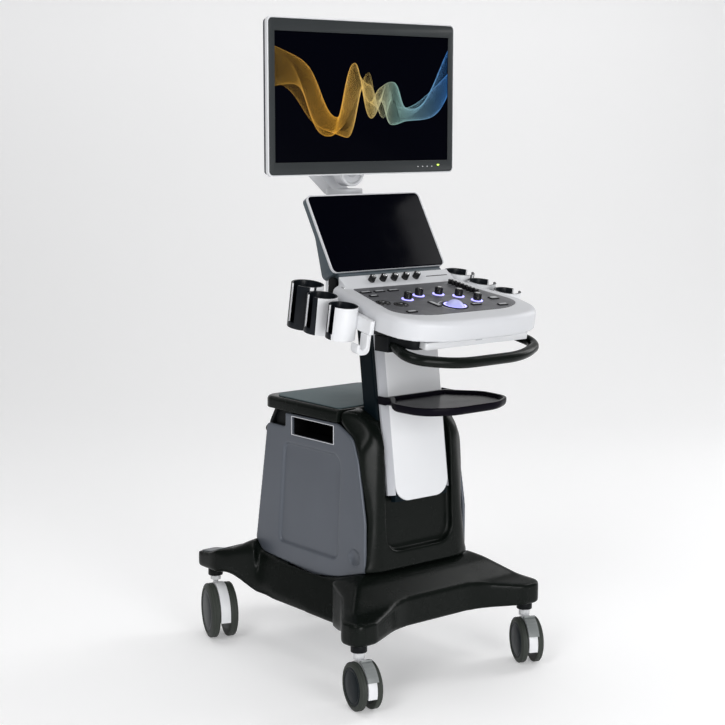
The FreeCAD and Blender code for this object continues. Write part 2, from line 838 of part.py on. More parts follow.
def make_controls():
    """Everything the operator turns, slides, rolls or presses on the deck."""
    ball = sphere("dims.BallRadius", (*BALL_AT, -10))
    sub_part("trackball", ball, console_frame)
    for number, (x, y) in enumerate(KNOBS_AT, start=1):
        grip = cylinder("dims.KnobRadius", "dims.KnobHeight", (x, y, 1.6))
        shaft = cylinder(3.0, 8.0, (x, y, -6))
        sub_part(f"knob_{number}", fuse(grip, shaft), console_frame)
    for number, x in enumerate(ENCODERS_AT, start=1):
        grip = cylinder(7.5, 14.0, (0, 0, 0.4))
        shaft = cylinder(3.0, 9.0, (0, 0, -8))
        sub_part(f"encoder_{number}", fuse(grip, shaft), console_frame.multiply(fascia_frame(x)))
    caps = []
    for y in SLIDERS_Y:
        cap = box((SLIDER_X - 5, SLIDER_X + 5), (y - 3.6, y + 3.6), (0.5, 10))
        stem = box((SLIDER_X - 2, SLIDER_X + 2), (y - 1, y + 1), (-5, 1))
        caps.append(fuse(cap, stem))
    sub_part("tgc_sliders", group(*caps), console_frame)
    sub_part("key_buttons", group(*key_shapes(0.0, KEY_BOTTOM, KEY_TOP)), console_frame)
    rings = []
    for x, y in KNOBS_AT:
        rings.append(cut(cylinder(12.5, 1.0, (x, y, 0.05)), cylinder(8.0, 5.0, (x, y, -2))))
    rings.append(cut(cylinder(24.0, 1.0, (*BALL_AT, 0.05)), cylinder(20.5, 5.0, (*BALL_AT, -2))))
    sub_part("light_rings", group(*rings), console_frame)


DRAWER_Y = (-150.0, 40.0)
DRAWER_Z = (-59.5, -45.5)


def make_drawer():
    outline = rectangle((-dim("DrawerHalf"), dim("DrawerHalf")), DRAWER_Y, 5)
    drawer = prism("XY_Plane", outline, DRAWER_Z[1] - DRAWER_Z[0], offset=DRAWER_Z[0])
    tray = rectangle((-128, 128), (-138, -20), 3)
    pocket(drawer, add_sketch(drawer, "XY_Plane", tray, offset=DRAWER_Z[1]), 7.0)
    sub_part("keyboard_drawer", drawer, console_frame)


HANDLE_ORIGIN = Vector(0, -382, 702)
HANDLE_SLOPE = 15.2
handle_frame = Placement(HANDLE_ORIGIN, Rotation(X_AXIS, HANDLE_SLOPE))
HANDLE_ROUTE = [
    (155, 138),
    (176, 52, 44),
    (92, 6, 190),
    (-92, 6, 190),
    (-176, 52, 44),
    (-155, 138),
]


def draw_open_route(sketch, points):
    """Straight runs joined by tangent arcs, for a tube."""
    cursor = Vector(points[0][0], points[0][1], 0)
    edges = []
    for index in range(1, len(points) - 1):
        corner = Vector(points[index][0], points[index][1], 0)
        back = (Vector(*points[index - 1][:2], 0) - corner).normalize()
        ahead = (Vector(*points[index + 1][:2], 0) - corner).normalize()
        half_angle = back.getAngle(ahead) / 2
        radius = points[index][2]
        reach = radius / math.tan(half_angle)
        towards = (back + ahead).normalize()
        middle = corner + towards * (radius / math.sin(half_angle) - radius)
        start = corner + back * reach
        finish = corner + ahead * reach
        edges.append(Part.LineSegment(cursor, start))
        edges.append(Part.Arc(start, middle, finish))
        cursor = finish
    edges.append(Part.LineSegment(cursor, Vector(*points[-1][:2], 0)))
    sketch.addGeometry(edges, False)


def make_handle():
    """Round tube bent in one sloping plane: straight runs joined by arcs."""
    path = doc.addObject("Sketcher::SketchObject", "handle_route")
    draw_open_route(path, HANDLE_ROUTE)
    section = doc.addObject("Part::Circle", "handle_section")
    section.setExpression("Radius", "dims.HandleRadius")
    start = Vector(*HANDLE_ROUTE[0][:2], 0)
    heading = Vector(*HANDLE_ROUTE[1][:2], 0) - start
    section.Placement = Placement(start, Rotation(Z_AXIS, heading))
    doc.recompute()
    tube = doc.addObject("Part::Sweep", "handle_tube")
    tube.Sections = [section]
    tube.Spine = (path, [f"Edge{i + 1}" for i in range(len(path.Shape.Edges))])
    tube.Solid = True
    tube.Frenet = False
    tube.Transition = "Right corner"
    sub_part("push_handle", tube, handle_frame)


def handle_sockets():
    """Bores in the console's mounts that the two ends of the handle sit in."""
    bores = []
    for sign in (-1, 1):
        end = Vector(sign * HANDLE_ROUTE[0][0], HANDLE_ROUTE[0][1], 0)
        bend = Vector(sign * HANDLE_ROUTE[1][0], HANDLE_ROUTE[1][1], 0)
        bore = cylinder("dims.HandleRadius + dims.RunningGap", 88.0, (0, 0, 0))
        bore.Placement = Placement(end, Rotation(Z_AXIS, bend - end))
        bores.append(placed(bore, handle_frame))
    return bores


SWIVEL_Y = -92.0
POST_Y = 93.0


def make_console_base():
    """Under-pan with the drawer's slot, swivel boss, rear tongue, handle mounts and hinge ears."""
    half_pan = [(130, 132, 10), (168, -60, 40), (160, -132, 20)]
    pan = prism("XY_Plane", mirrored(half_pan), 21.2, offset=-63.7)
    half_slot = dim("DrawerHalf") + 0.6
    slot = box((-half_slot, half_slot), (-160, 41), (DRAWER_Z[0] - 0.5, DRAWER_Z[1] + 0.5))
    tray = placed(cut(pan, slot), console_frame)
    boss = cylinder(40.0, 27.0, (0, SWIVEL_Y, 745))
    tongue = prism("XY_Plane", rectangle((-45, 45), (-90, 140), 12), 24.0, offset=763.0)
    rising_tongue = box((-45, 45), (-75, 30), (770, 795))
    mounts = []
    for sign in (-1, 1):
        mounts.append(box(sorted((sign * 142, sign * 173)), (-264, -222), (721, 752)))
    ears = []
    for sign in (-1, 1):
        low_x = sign * 146 - 4
        stalk = box((low_x, low_x + 8), (141, 160), (-60, HINGE_ON_CONSOLE.z))
        knuckle = cylinder(12.0, 8.0, (low_x, HINGE_ON_CONSOLE.y, HINGE_ON_CONSOLE.z), "X")
        foot = box(sorted((sign * 122, sign * 150)), (100, 160), (-62, -44))
        ears.append(placed(fuse(stalk, knuckle, foot), console_frame))
        pin_x = sign * 142 - (8 if sign > 0 else 0)
        pin = cylinder(4.0, 8.0, (pin_x, HINGE_ON_CONSOLE.y, HINGE_ON_CONSOLE.z), "X")
        ears.append(placed(pin, console_frame))
    base = fuse(tray, boss, tongue, rising_tongue, *mounts, *ears)
    sub_part("console_base", cut(base, *handle_sockets()))


def make_probe_holders():
    """Three open cups on a rail, one set on each side of the console."""
    cups = [
        (226.0, 12.0, -5.3, 30.0, 68.0),
        (221.0, 88.0, -4.9, 31.5, 78.0),
        (211.0, 153.0, 1.5, 34.0, 92.0),
    ]
    rail_outline = [
        (197.8, -56),
        (207, -56, 4),
        (206, 10),
        (198, 100),
        (186, 168, 4),
        (170, 168, 4),
        (169.5, 118),
        (188.5, 0),
    ]
    for side, sign in (("left", -1), ("right", 1)):
        outline = [(sign * x, y, *r) for x, y, *r in rail_outline]
        solids = [prism("XY_Plane", outline, 28.0, offset=-50.0)]
        hollows = []
        for x, y, rim, radius, height in cups:
            at = sign * x
            foot = rim - height
            solids.append(cylinder(radius, height, (at, y, foot)))
            hollows.append(cylinder(radius - dim("CupWall"), height, (at, y, foot + 5)))
            slot_x = sorted((at, at + sign * 40))
            hollows.append(box(slot_x, (y - 9, y + 9), (foot + 12, rim + 5)))
        sub_part(f"probe_holder_{side}", cut(fuse(*solids), *hollows), console_frame)


def make_cable_hooks():
    hook = [
        (199, -50.5),
        (209, -50.5),
        (209, -78, 5),
        (222, -84, 6),
        (224, -70),
        (231.5, -70),
        (231.5, -92, 13),
        (199, -92, 12),
    ]
    hooks = []
    for sign in (-1, 1):
        outline = [(sign * x, z, *r) for x, z, *r in hook]
        hooks.append(prism("XZ_Plane", outline, 22.0, offset=30.0))
    sub_part("cable_hooks", group(*hooks), console_frame)


make_console_shell()
make_control_plate()
make_controls()
make_drawer()
make_handle()
make_console_base()
make_probe_holders()
make_cable_hooks()


# ---------------------------------------------------------------- touch screen
GLASS_FOOT = 2.5


def make_touch():
    hinge_y, hinge_z = TOUCH_HINGE
    outline = [(1.5, 2), (1.5, 183), (17, 183, 4), (17, 92, 60), (38, 12, 20), (40, 2)]
    wedge = prism("YZ_Plane", outline, "2 * dims.TouchHalf", midplane=True)
    front_view = rectangle((-dim("TouchHalf"), dim("TouchHalf")), (2, 183), 12)
    slab = common(wedge, prism("XZ_Plane", front_view, 120.0, midplane=True))
    barrel = cylinder("dims.BarrelRadius", 280.0, (-140, hinge_y, hinge_z), "X")
    half_room = dim("GlassHalf") + 0.3
    glass_top = GLASS_FOOT + dim("GlassHeight")
    glass_room = box((-half_room, half_room), (0, 3.2), (GLASS_FOOT - 0.3, glass_top + 0.3))
    bore = cylinder("4 + dims.RunningGap", 320.0, (-160, hinge_y, hinge_z), "X")
    housing = cut(fuse(slab, barrel), glass_room, bore)
    sub_part("touch_housing", housing, touch_frame)
    glass_outline = rectangle((-dim("GlassHalf"), dim("GlassHalf")), (GLASS_FOOT, glass_top), 10)
    glass = prism("XZ_Plane", glass_outline, 2.2, flipped=True, offset=-0.8)
    sub_part("touch_glass", glass, touch_frame)


make_touch()


# ---------------------------------------------------------------- arm
POST_TOP = 1016.0
ELBOW_Y = 225.0
HEAD_Y = 150.0
TILT_AT = (80.0, 1106.0)


def make_arm():
    post = cylinder("dims.PostRadius", POST_TOP - 787.3, (0, POST_Y, 787.3))
    spigot = cylinder(15.0, 12.5, (0, POST_Y, POST_TOP))
    sub_part("arm_post", fuse(post, spigot))

    hub = cylinder(40.0, 12.5, (0, POST_Y, POST_TOP + 0.5))
    side_view = [
        (108, 1016.5),
        (133, 1016.5, 20),
        (222, 1073),
        (222, 1098.5),
        (204, 1098.5, 20),
        (108, 1029),
    ]
    beam = prism("YZ_Plane", side_view, 46.0, midplane=True)
    elbow = cylinder(28.0, 26.5, (0, ELBOW_Y, 1073))
    hub_bore = cylinder(15.05, 40.0, (0, POST_Y, POST_TOP - 10))
    elbow_bore = cylinder(10.0, 60.0, (0, ELBOW_Y, 1060))
    sub_part("arm_lower_link", cut(fuse(hub, beam, elbow), hub_bore, elbow_bore))

    rear_boss = cylinder(28.0, 24.0, (0, ELBOW_Y, 1100))
    elbow_pin = cylinder(9.95, 26.0, (0, ELBOW_Y, 1075))
    bar = box((-20, 20), (HEAD_Y, ELBOW_Y), (1102, 1122))
    front_boss = cylinder(22.0, 24.0, (0, HEAD_Y, 1100))
    head_bore = cylinder(8.0, 40.0, (0, HEAD_Y, 1090))
    sub_part("arm_upper_link", cut(fuse(rear_boss, elbow_pin, bar, front_boss), head_bore))

    boss = cylinder(22.0, 17.5, (0, HEAD_Y, 1082))
    pin = cylinder(7.95, 30.0, (0, HEAD_Y, 1090))
    neck = box((-16, 16), (88, HEAD_Y), (1080, 1098))
    disc = cylinder("dims.HeadRadius", 26.0, (0, 66, 1067), "Y")
    knuckle = cylinder(12.0, 44.0, (-22, *TILT_AT), "X")
    tilt_bore = cylinder("5 + dims.RunningGap", 60.0, (-30, *TILT_AT), "X")
    sub_part("tilt_head", cut(fuse(boss, pin, neck, disc, knuckle), tilt_bore))


# ---------------------------------------------------------------- monitor
MONITOR_Z = 1223.7
MONITOR_FRONT = 20.0


def frame_ring(half_x, half_z, hole_x, hole_z, y, corner, hole_corner):
    """A rectangular ring that faces -Y, between two depths."""
    ring = new_body()
    outer = rectangle((-half_x, half_x), (MONITOR_Z - half_z, MONITOR_Z + half_z), corner)
    hole = rectangle((-hole_x, hole_x), (MONITOR_Z - hole_z, MONITOR_Z + hole_z), hole_corner)
    face = add_sketch(ring, "XZ_Plane", outer, offset=-y[0], more=(hole,))
    pad(ring, face, y[1] - y[0], flipped=True)
    return ring


def make_monitor():
    half_x = dim("MonitorHalf")
    half_z = dim("MonitorHalfHeight")
    rim_depth = (MONITOR_FRONT + 1, MONITOR_FRONT + 11)
    rim = frame_ring(half_x, half_z, half_x - 3, half_z - 3, rim_depth, 12, 9.2)
    sub_part("monitor_rim", rim)
    bezel_depth = (MONITOR_FRONT, MONITOR_FRONT + 6)
    bezel = frame_ring(
        half_x - 3.3, half_z - 3.3, dim("ScreenHalf"), dim("ScreenHalfHeight"), bezel_depth, 9, 0
    )
    sub_part("monitor_bezel", bezel)
    screen = rectangle(
        (-dim("ScreenHalf") + 0.2, dim("ScreenHalf") - 0.2),
        (MONITOR_Z - dim("ScreenHalfHeight") + 0.2, MONITOR_Z + dim("ScreenHalfHeight") - 0.2),
    )
    sub_part("monitor_screen", prism("XZ_Plane", screen, 4.0, flipped=True, offset=-22.0))

    back_plate = rectangle(
        (-half_x + 3.4, half_x - 3.4), (MONITOR_Z - half_z + 3.4, MONITOR_Z + half_z - 3.4), 9
    )
    plate = prism("XZ_Plane", back_plate, 17.8, flipped=True, offset=-26.2)
    bulge_outline = rectangle((-150, 150), (1130, 1340), 20)
    bulge = prism("XZ_Plane", bulge_outline, 26.0, flipped=True, offset=-43.0)
    lugs = []
    for sign in (-1, 1):
        low, high = sorted((sign * 23, sign * 31))
        lugs.append(box((low, high), (43, 80), (TILT_AT[1] - 9, TILT_AT[1] + 9)))
        lugs.append(cylinder(9.0, 8.0, (low, *TILT_AT), "X"))
    pin = cylinder(5.0, 62.0, (-31, *TILT_AT), "X")
    sub_part("monitor_housing", fuse(plate, bulge, *lugs, pin))


make_arm()
make_monitor()


# ---------------------------------------------------------------- check and write
doc.recompute()
faults = []
for item in doc.Objects:
    if "Invalid" in item.State or "Error" in item.State:
        faults.append(f"{item.Name} {item.Label}: {item.State}")
for item in sub_parts:
    if item.Shape.isNull() or not item.Shape.isValid():
        faults.append(f"{item.Label}: bad shape")
if faults:
    raise RuntimeError("; ".join(faults))

os.makedirs("parts", exist_ok=True)
for item in sub_parts:
    item.Shape.exportStep(f"parts/{item.Label}.step")
print(len(sub_parts), "sub-parts written")
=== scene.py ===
# %% [markdown]
# # An ultrasound machine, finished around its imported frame
#
# The frame arrives as plain, exact bodies that already move. This lesson gives them
# the surfaces of the real machine. Every length is in metres. +X is the operator's
# right, -Y points at the operator and +Z is up, with the floor at zero.

# %% Load the frame
import json
import math

import bmesh
import bpy
import numpy as np
from mathutils import Matrix, Vector
from mathutils.bvhtree import BVHTree


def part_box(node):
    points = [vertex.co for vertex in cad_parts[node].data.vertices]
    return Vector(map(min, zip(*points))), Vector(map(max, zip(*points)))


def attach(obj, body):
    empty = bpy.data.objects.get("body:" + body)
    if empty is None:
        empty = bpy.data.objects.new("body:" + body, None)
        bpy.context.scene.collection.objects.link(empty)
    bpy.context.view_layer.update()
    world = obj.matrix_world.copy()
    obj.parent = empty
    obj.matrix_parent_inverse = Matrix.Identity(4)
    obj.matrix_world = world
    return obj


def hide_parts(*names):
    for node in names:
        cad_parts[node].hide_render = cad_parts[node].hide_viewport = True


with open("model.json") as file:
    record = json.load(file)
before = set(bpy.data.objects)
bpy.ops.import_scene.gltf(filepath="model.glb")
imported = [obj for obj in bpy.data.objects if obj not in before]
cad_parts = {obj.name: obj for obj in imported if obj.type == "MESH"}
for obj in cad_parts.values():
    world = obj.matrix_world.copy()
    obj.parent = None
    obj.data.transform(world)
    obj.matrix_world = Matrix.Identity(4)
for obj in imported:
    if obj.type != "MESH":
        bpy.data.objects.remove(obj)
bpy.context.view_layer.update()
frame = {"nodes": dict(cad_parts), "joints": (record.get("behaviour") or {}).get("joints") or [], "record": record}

# %% [markdown]
# ## Working frames
#
# The column, the deck and the touch screen each lean, so each gets a matrix. A piece is
# drawn flat in its own frame and the matrix is applied to the mesh at the end, which
# leaves the finished object at the origin.

# %% Leaning frames
MM = 0.001


def leaning(origin_mm, degrees):
    """A frame whose X axis is level and whose Y and Z axes lean by an angle."""
    turn = Matrix.Rotation(math.radians(degrees), 4, "X")
    return Matrix.Translation(Vector(origin_mm) * MM) @ turn


COLUMN = leaning((0, -135, 698), -7.4)
DECK = leaning((0, -202, 816), 10.3)
TOUCH = leaning((0, -67, 863), -30.7)
WORLD = Matrix.Identity(4)
print("deck normal", (DECK.to_3x3() @ Vector((0, 0, 1))).to_tuple(3))

# %% [markdown]
# ## Finishes
#
# Moulded plastic is never one flat colour. One recipe covers most of the machine: a soft
# colour drift, a roughness that varies from handling, and a fine bump for the moulding
# texture. Only the colour, roughness, grain and coat differ from one finish to the next.
# Values that are the same all over are set on the shader's own sockets.

# %% The moulded finish recipe
MATERIALS = {}
SOCKET_NAMES = {"coat": "Coat Weight", "metal": "Metallic", "gloss": "Specular IOR Level"}


def add_node(tree, kind, **values):
    node = tree.nodes.new(kind)
    for key, value in values.items():
        if hasattr(node, key) and key not in node.inputs:
            setattr(node, key, value)
        else:
            node.inputs[key].default_value = value
    return node


def moulded(name, color, rough, drift=0.06, grain=0.03, grain_scale=900.0, **sockets):
    """A finish with colour drift, uneven roughness and a fine surface grain."""
    material = bpy.data.materials.new(name)
    material.use_nodes = True
    tree = material.node_tree
    shader = tree.nodes["Principled BSDF"]
    for socket, value in sockets.items():
        shader.inputs[SOCKET_NAMES[socket]].default_value = value
    place = add_node(tree, "ShaderNodeTexCoord")

    broad = add_node(tree, "ShaderNodeTexNoise", Scale=6.0, Detail=4.0)
    tree.links.new(place.outputs["Object"], broad.inputs["Vector"])
    tint = tree.nodes.new("ShaderNodeValToRGB")
    tint.color_ramp.elements[0].position = 0.3
    tint.color_ramp.elements[1].position = 0.7
    tint.color_ramp.elements[0].color = [c * (1 - drift) for c in color] + [1]
    tint.color_ramp.elements[1].color = [min(1, c * (1 + drift)) for c in color] + [1]
    tree.links.new(broad.outputs["Fac"], tint.inputs["Fac"])
    tree.links.new(tint.outputs["Color"], shader.inputs["Base Color"])

    handled = add_node(tree, "ShaderNodeTexNoise", Scale=28.0, Detail=6.0)
    tree.links.new(place.outputs["Object"], handled.inputs["Vector"])
    span = add_node(tree, "ShaderNodeMapRange")
    span.inputs["To Min"].default_value = max(0.02, rough - 0.07)
    span.inputs["To Max"].default_value = rough + 0.07
    tree.links.new(handled.outputs["Fac"], span.inputs["Value"])
    tree.links.new(span.outputs["Result"], shader.inputs["Roughness"])

    fine = add_node(tree, "ShaderNodeTexNoise", Scale=grain_scale, Detail=2.0)
    tree.links.new(place.outputs["Object"], fine.inputs["Vector"])
    bump = add_node(tree, "ShaderNodeBump", Strength=grain, Distance=0.0006)
    tree.links.new(fine.outputs["Fac"], bump.inputs["Height"])
    tree.links.new(bump.outputs["Normal"], shader.inputs["Normal"])
    MATERIALS[name] = material
    return material


moulded("gloss_shell", (0.0040, 0.0055, 0.0046), 0.26, grain=0.015, gloss=0.11)
moulded("shelf_gloss", (0.0050, 0.0045, 0.0075), 0.20, grain=0.01, gloss=0.02)
moulded("bay_black", (0.0015, 0.0016, 0.0020), 0.70, grain=0.10, gloss=0.05)
moulded("satin_black", (0.006, 0.007, 0.008), 0.42, grain=0.10, gloss=0.10)
moulded("panel_paint", (0.086, 0.097, 0.118), 0.38, grain=0.06, grain_scale=1600.0, metal=0.2)
moulded("white_abs", (0.70, 0.71, 0.73), 0.42, drift=0.015, grain=0.05)
moulded("light_grey", (0.60, 0.61, 0.635), 0.40, drift=0.02, grain=0.05)
moulded("deck_foil", (0.085, 0.087, 0.096), 0.46, grain=0.12, grain_scale=1300.0)
moulded("blue_grey", (0.060, 0.080, 0.095), 0.38, grain=0.06)
moulded("trim_grey", (0.430, 0.440, 0.470), 0.36, grain=0.04)
moulded("mat_rubber", (0.072, 0.104, 0.112), 0.62, grain=0.25, grain_scale=700.0)
moulded("tread", (0.032, 0.037, 0.032), 0.58, grain=0.20, grain_scale=600.0, gloss=0.25)
moulded("hub_plastic", (0.004, 0.008, 0.011), 0.34, grain=0.05, gloss=0.06)
moulded("pedal_plastic", (0.190, 0.205, 0.205), 0.45, grain=0.12)
moulded("knob_plastic", (0.007, 0.007, 0.008), 0.28, grain=0.06, gloss=0.4)
moulded("bright_metal", (0.62, 0.62, 0.63), 0.24, grain=0.03, metal=1.0)
moulded("sheet_metal", (0.42, 0.43, 0.44), 0.36, grain=0.05, metal=0.9)
moulded("edge_light", (0.62, 0.63, 0.66), 0.35, grain=0.02)
moulded("trim_light", (0.46, 0.47, 0.49), 0.38, grain=0.04)
moulded("column_paint", (0.004, 0.008, 0.011), 0.36, grain=0.05, gloss=0.05)
# Painted reflection: the pale blue-grey of the rear leg tops is the sky reflected in the black base, painted as
# colour.
moulded("pad_grey", (0.045, 0.056, 0.066), 0.34, grain=0.06)
# Black of the cup liners, also painted on each cup's outer half as shade.
moulded("cup_liner_black_and_shade", (0.006, 0.008, 0.011), 0.30, grain=0.05, gloss=0.18)
moulded("bezel_grey", (0.028, 0.032, 0.034), 0.34, grain=0.05, gloss=0.35)
moulded("back_grey", (0.030, 0.032, 0.045), 0.38, grain=0.07)
moulded("power_soft", (0.30, 0.42, 0.36), 0.30, grain=0.02)
moulded("dark_glass", (0.0008, 0.0010, 0.0028), 0.12, drift=0.02, grain=0.0, gloss=0.02)
print(len(MATERIALS), "moulded finishes")

# %% [markdown]
# ## Lit finishes
#
# The trackball and the rings under the knobs glow lavender. A steady emission under a
# smooth surface reads as light inside a milky lens. The strands of the screen picture
# take their colour from where they stand across the screen: gold, then teal, then blue.


# %% Lens glow
def glowing(name, color, strength):
    """A moulded finish that also gives off light."""
    material = moulded(name, color, 0.25, drift=0.08, grain=0.0)
    shader = material.node_tree.nodes["Principled BSDF"]
    shader.inputs["Emission Color"].default_value = (*color, 1)
    shader.inputs["Emission Strength"].default_value = strength
    return material


glowing("ring_glow", (0.36, 0.34, 1.0), 1.9)
glowing("ball_glow", (0.34, 0.35, 0.62), 0.40)
glowing("power_light", (0.55, 0.85, 0.10), 2.0)
wave = glowing("wave_light", (0.004, 0.004, 0.004), 1.15)
wave_nodes = wave.node_tree
WAVE_HALF_WIDTH = 0.24
spot = wave_nodes.nodes.new("ShaderNodeSeparateXYZ")
reach = add_node(wave_nodes, "ShaderNodeMapRange")
reach.inputs["From Min"].default_value = -WAVE_HALF_WIDTH
reach.inputs["From Max"].default_value = WAVE_HALF_WIDTH
hues = wave_nodes.nodes.new("ShaderNodeValToRGB")
hues.color_ramp.elements[0].color = (0.36, 0.20, 0.03, 1)
hues.color_ramp.elements[1].color = (0.03, 0.16, 0.48, 1)
hues.color_ramp.elements.new(0.34).color = (0.70, 0.34, 0.03, 1)
hues.color_ramp.elements.new(0.54).color = (0.58, 0.42, 0.13, 1)
hues.color_ramp.elements.new(0.68).color = (0.30, 0.52, 0.46, 1)
origin = wave_nodes.nodes.new("ShaderNodeTexCoord")
wave_nodes.links.new(origin.outputs["Object"], spot.inputs["Vector"])
wave_nodes.links.new(spot.outputs["X"], reach.inputs["Value"])
wave_nodes.links.new(reach.outputs["Result"], hues.inputs["Fac"])
wave_shader = wave_nodes.nodes["Principled BSDF"]
wave_nodes.links.new(hues.outputs["Color"], wave_shader.inputs["Emission Color"])
print("lit finishes ready")

# %% [markdown]
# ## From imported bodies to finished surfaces
#
# A frame node is exact but sharp, and real mouldings have a small radius on every edge
# that catches the light. Two treatments give it. Crisp parts get a bevel on a welded
# copy. Flowing parts, such as the base, are remeshed into an even skin and then relaxed,
# which blends neighbouring surfaces the way a mould maker would.

# %% Weld, evaluate and shape
BODY_OF = {}
for body_name, members in frame["record"]["behaviour"]["bodies"].items():
    for member in members:
        BODY_OF[member] = body_name


def welded(node, dissolve=0.4):
    """A copy of a frame node as one connected surface."""
    work = bmesh.new()
    work.from_mesh(frame["nodes"][node].data)
    bmesh.ops.remove_doubles(work, verts=work.verts, dist=0.00001)
    if dissolve:
        bmesh.ops.dissolve_limit(
            work, angle_limit=math.radians(dissolve), verts=work.verts, edges=work.edges
        )
    bmesh.ops.recalc_face_normals(work, faces=work.faces)
    mesh = bpy.data.meshes.new(node)
    work.to_mesh(mesh)
    work.free()
    return mesh


def shaped(mesh, *steps):
    """Run modifiers on a mesh; each step is (type, settings)."""
    holder = bpy.data.objects.new("holder", mesh)
    bpy.context.scene.collection.objects.link(holder)
    for kind, settings in steps:
        modifier = holder.modifiers.new(kind, kind)
        for key, value in settings.items():
            setattr(modifier, key, value)
    graph = bpy.context.evaluated_depsgraph_get()
    result = bpy.data.meshes.new_from_object(holder.evaluated_get(graph), depsgraph=graph)
    bpy.data.objects.remove(holder)
    return result


def bevelled(mesh, width_mm, segments=3, limit=35.0):
    """A copy of a mesh with every sharp edge rounded over."""
    mesh.polygons.foreach_set("use_smooth", [True] * len(mesh.polygons))
    settings = {
        "width": width_mm * MM,
        "segments": segments,
        "limit_method": "ANGLE",
        "angle_limit": math.radians(limit),
        "harden_normals": True,
    }
    return shaped(mesh, ("BEVEL", settings))


def relaxed(mesh, voxel_mm, rounds):
    """An even skin over the mesh, relaxed so that its edges blend."""
    skin = {"mode": "VOXEL", "voxel_size": voxel_mm * MM, "use_smooth_shade": True}
    return shaped(mesh, ("REMESH", skin), ("SMOOTH", {"factor": 0.5, "iterations": rounds}))


def flowed(mesh, rounds, low_mm, high_mm, fade_mm):
    """Level out the steps of a moulding inside a box and inside its mirror image."""
    count = len(mesh.vertices)
    points = np.empty(count * 3)
    mesh.vertices.foreach_get("co", points)
    points = points.reshape(count, 3)
    ends = np.empty(len(mesh.edges) * 2, dtype=np.int32)
    mesh.edges.foreach_get("vertices", ends)
    start, finish = ends.reshape(-1, 2).T
    neighbours = np.bincount(ends, minlength=count)
    share = np.ones(count)
    for axis, (low, high) in enumerate(zip(low_mm, high_mm)):
        along = (np.abs(points[:, axis]) if axis == 0 else points[:, axis]) / MM
        share *= np.clip((along - low) / fade_mm, 0, 1) * np.clip((high - along) / fade_mm, 0, 1)
    for _ in range(rounds):
        for axis in range(3):
            values = points[:, axis]
            total = np.bincount(start, values[finish], count)
            total += np.bincount(finish, values[start], count)
            points[:, axis] += 0.5 * share * (total / neighbours - values)
    mesh.vertices.foreach_set("co", points.ravel())
    mesh.update()


print(len(BODY_OF), "frame nodes to dress")


def add_piece(name, mesh, finish, body, replaced=(), sharp=None):
    """Put a finished mesh in the scene, riding on a body."""
    if sharp is not None:
        mesh.polygons.foreach_set("use_smooth", [True] * len(mesh.polygons))
        mesh.set_sharp_from_angle(angle=math.radians(sharp))
    mesh.materials.clear()
    mesh.materials.append(MATERIALS[finish])
    piece = bpy.data.objects.new(name, mesh)
    bpy.context.scene.collection.objects.link(piece)
    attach(piece, body)
    if replaced:
        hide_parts(*replaced)
    return piece


def dress(node, finish, bevel_mm, name=None):
    """A bevelled copy of a node takes the node's place."""
    mesh = bevelled(welded(node), bevel_mm)
    return add_piece(name or node + "_moulding", mesh, finish, BODY_OF[node], (node,))


def blend_node(node, finish, voxel_mm, rounds):
    """A relaxed copy of a node takes the node's place."""
    mesh = relaxed(welded(node, dissolve=0), voxel_mm, rounds)
    piece = add_piece(node + "_moulding", mesh, finish, BODY_OF[node], (node,))
    print(piece.name, len(mesh.polygons), "faces")
    return piece


# %% [markdown]
# ## Drawing new shapes
#
# The added pieces are drawn in millimetres with three small tools: an outline with
# rounded corners that becomes a slab or a ring, and a profile that is turned about an
# axis. A lathe is the natural tool for anything that spins, such as a wheel or a knob.


# %% Outlines, slabs, rings and the lathe
def rounded(points, steps=6):
    """A closed outline in millimetres; a point's third number rounds its corner."""
    path = []
    for index, (x, y, *radius) in enumerate(points):
        corner = Vector((x, y))
        if not radius:
            path.append(corner)
            continue
        back = (Vector(points[index - 1][:2]) - corner).normalized()
        ahead = (Vector(points[(index + 1) % len(points)][:2]) - corner).normalized()
        half = back.angle(ahead) / 2
        centre = corner + (back + ahead).normalized() * radius[0] / math.sin(half)
        start = corner + back * radius[0] / math.tan(half) - centre
        finish = corner + ahead * radius[0] / math.tan(half) - centre
        sweep = start.angle(finish)
        for step in range(steps + 1):
            part = step / steps
            bend = start * math.sin((1 - part) * sweep) + finish * math.sin(part * sweep)
            path.append(centre + bend / math.sin(sweep))
    return path


def rectangle(x, y, radius=None):
    """Four corners from two spans, rounded if a radius is given."""
    corners = [(x[0], y[0]), (x[1], y[0]), (x[1], y[1]), (x[0], y[1])]
    return corners if radius is None else [(*corner, radius) for corner in corners]


def to_mesh(name, work, place):
    """Turn a shape drawn in millimetres into a placed mesh in metres."""
    bmesh.ops.transform(work, matrix=place @ Matrix.Scale(MM, 4), verts=work.verts)
    bmesh.ops.recalc_face_normals(work, faces=work.faces)
    mesh = bpy.data.meshes.new(name)
    work.to_mesh(mesh)
    work.free()
    return mesh


def slab(outline, low, high, place=WORLD, bevel_mm=0.0):
    """A closed plate between two local heights."""
    work = bmesh.new()
    path = rounded(outline)
    loops = [[work.verts.new((*point, height)) for point in path] for height in (low, high)]
    work.faces.new(loops[0])
    work.faces.new(loops[1])
    for index in range(len(path)):
        after = (index + 1) % len(path)
        corners = (loops[0][index], loops[0][after], loops[1][after], loops[1][index])
        work.faces.new(corners)
    mesh = to_mesh("slab", work, place)
    return bevelled(mesh, bevel_mm, segments=2) if bevel_mm else mesh


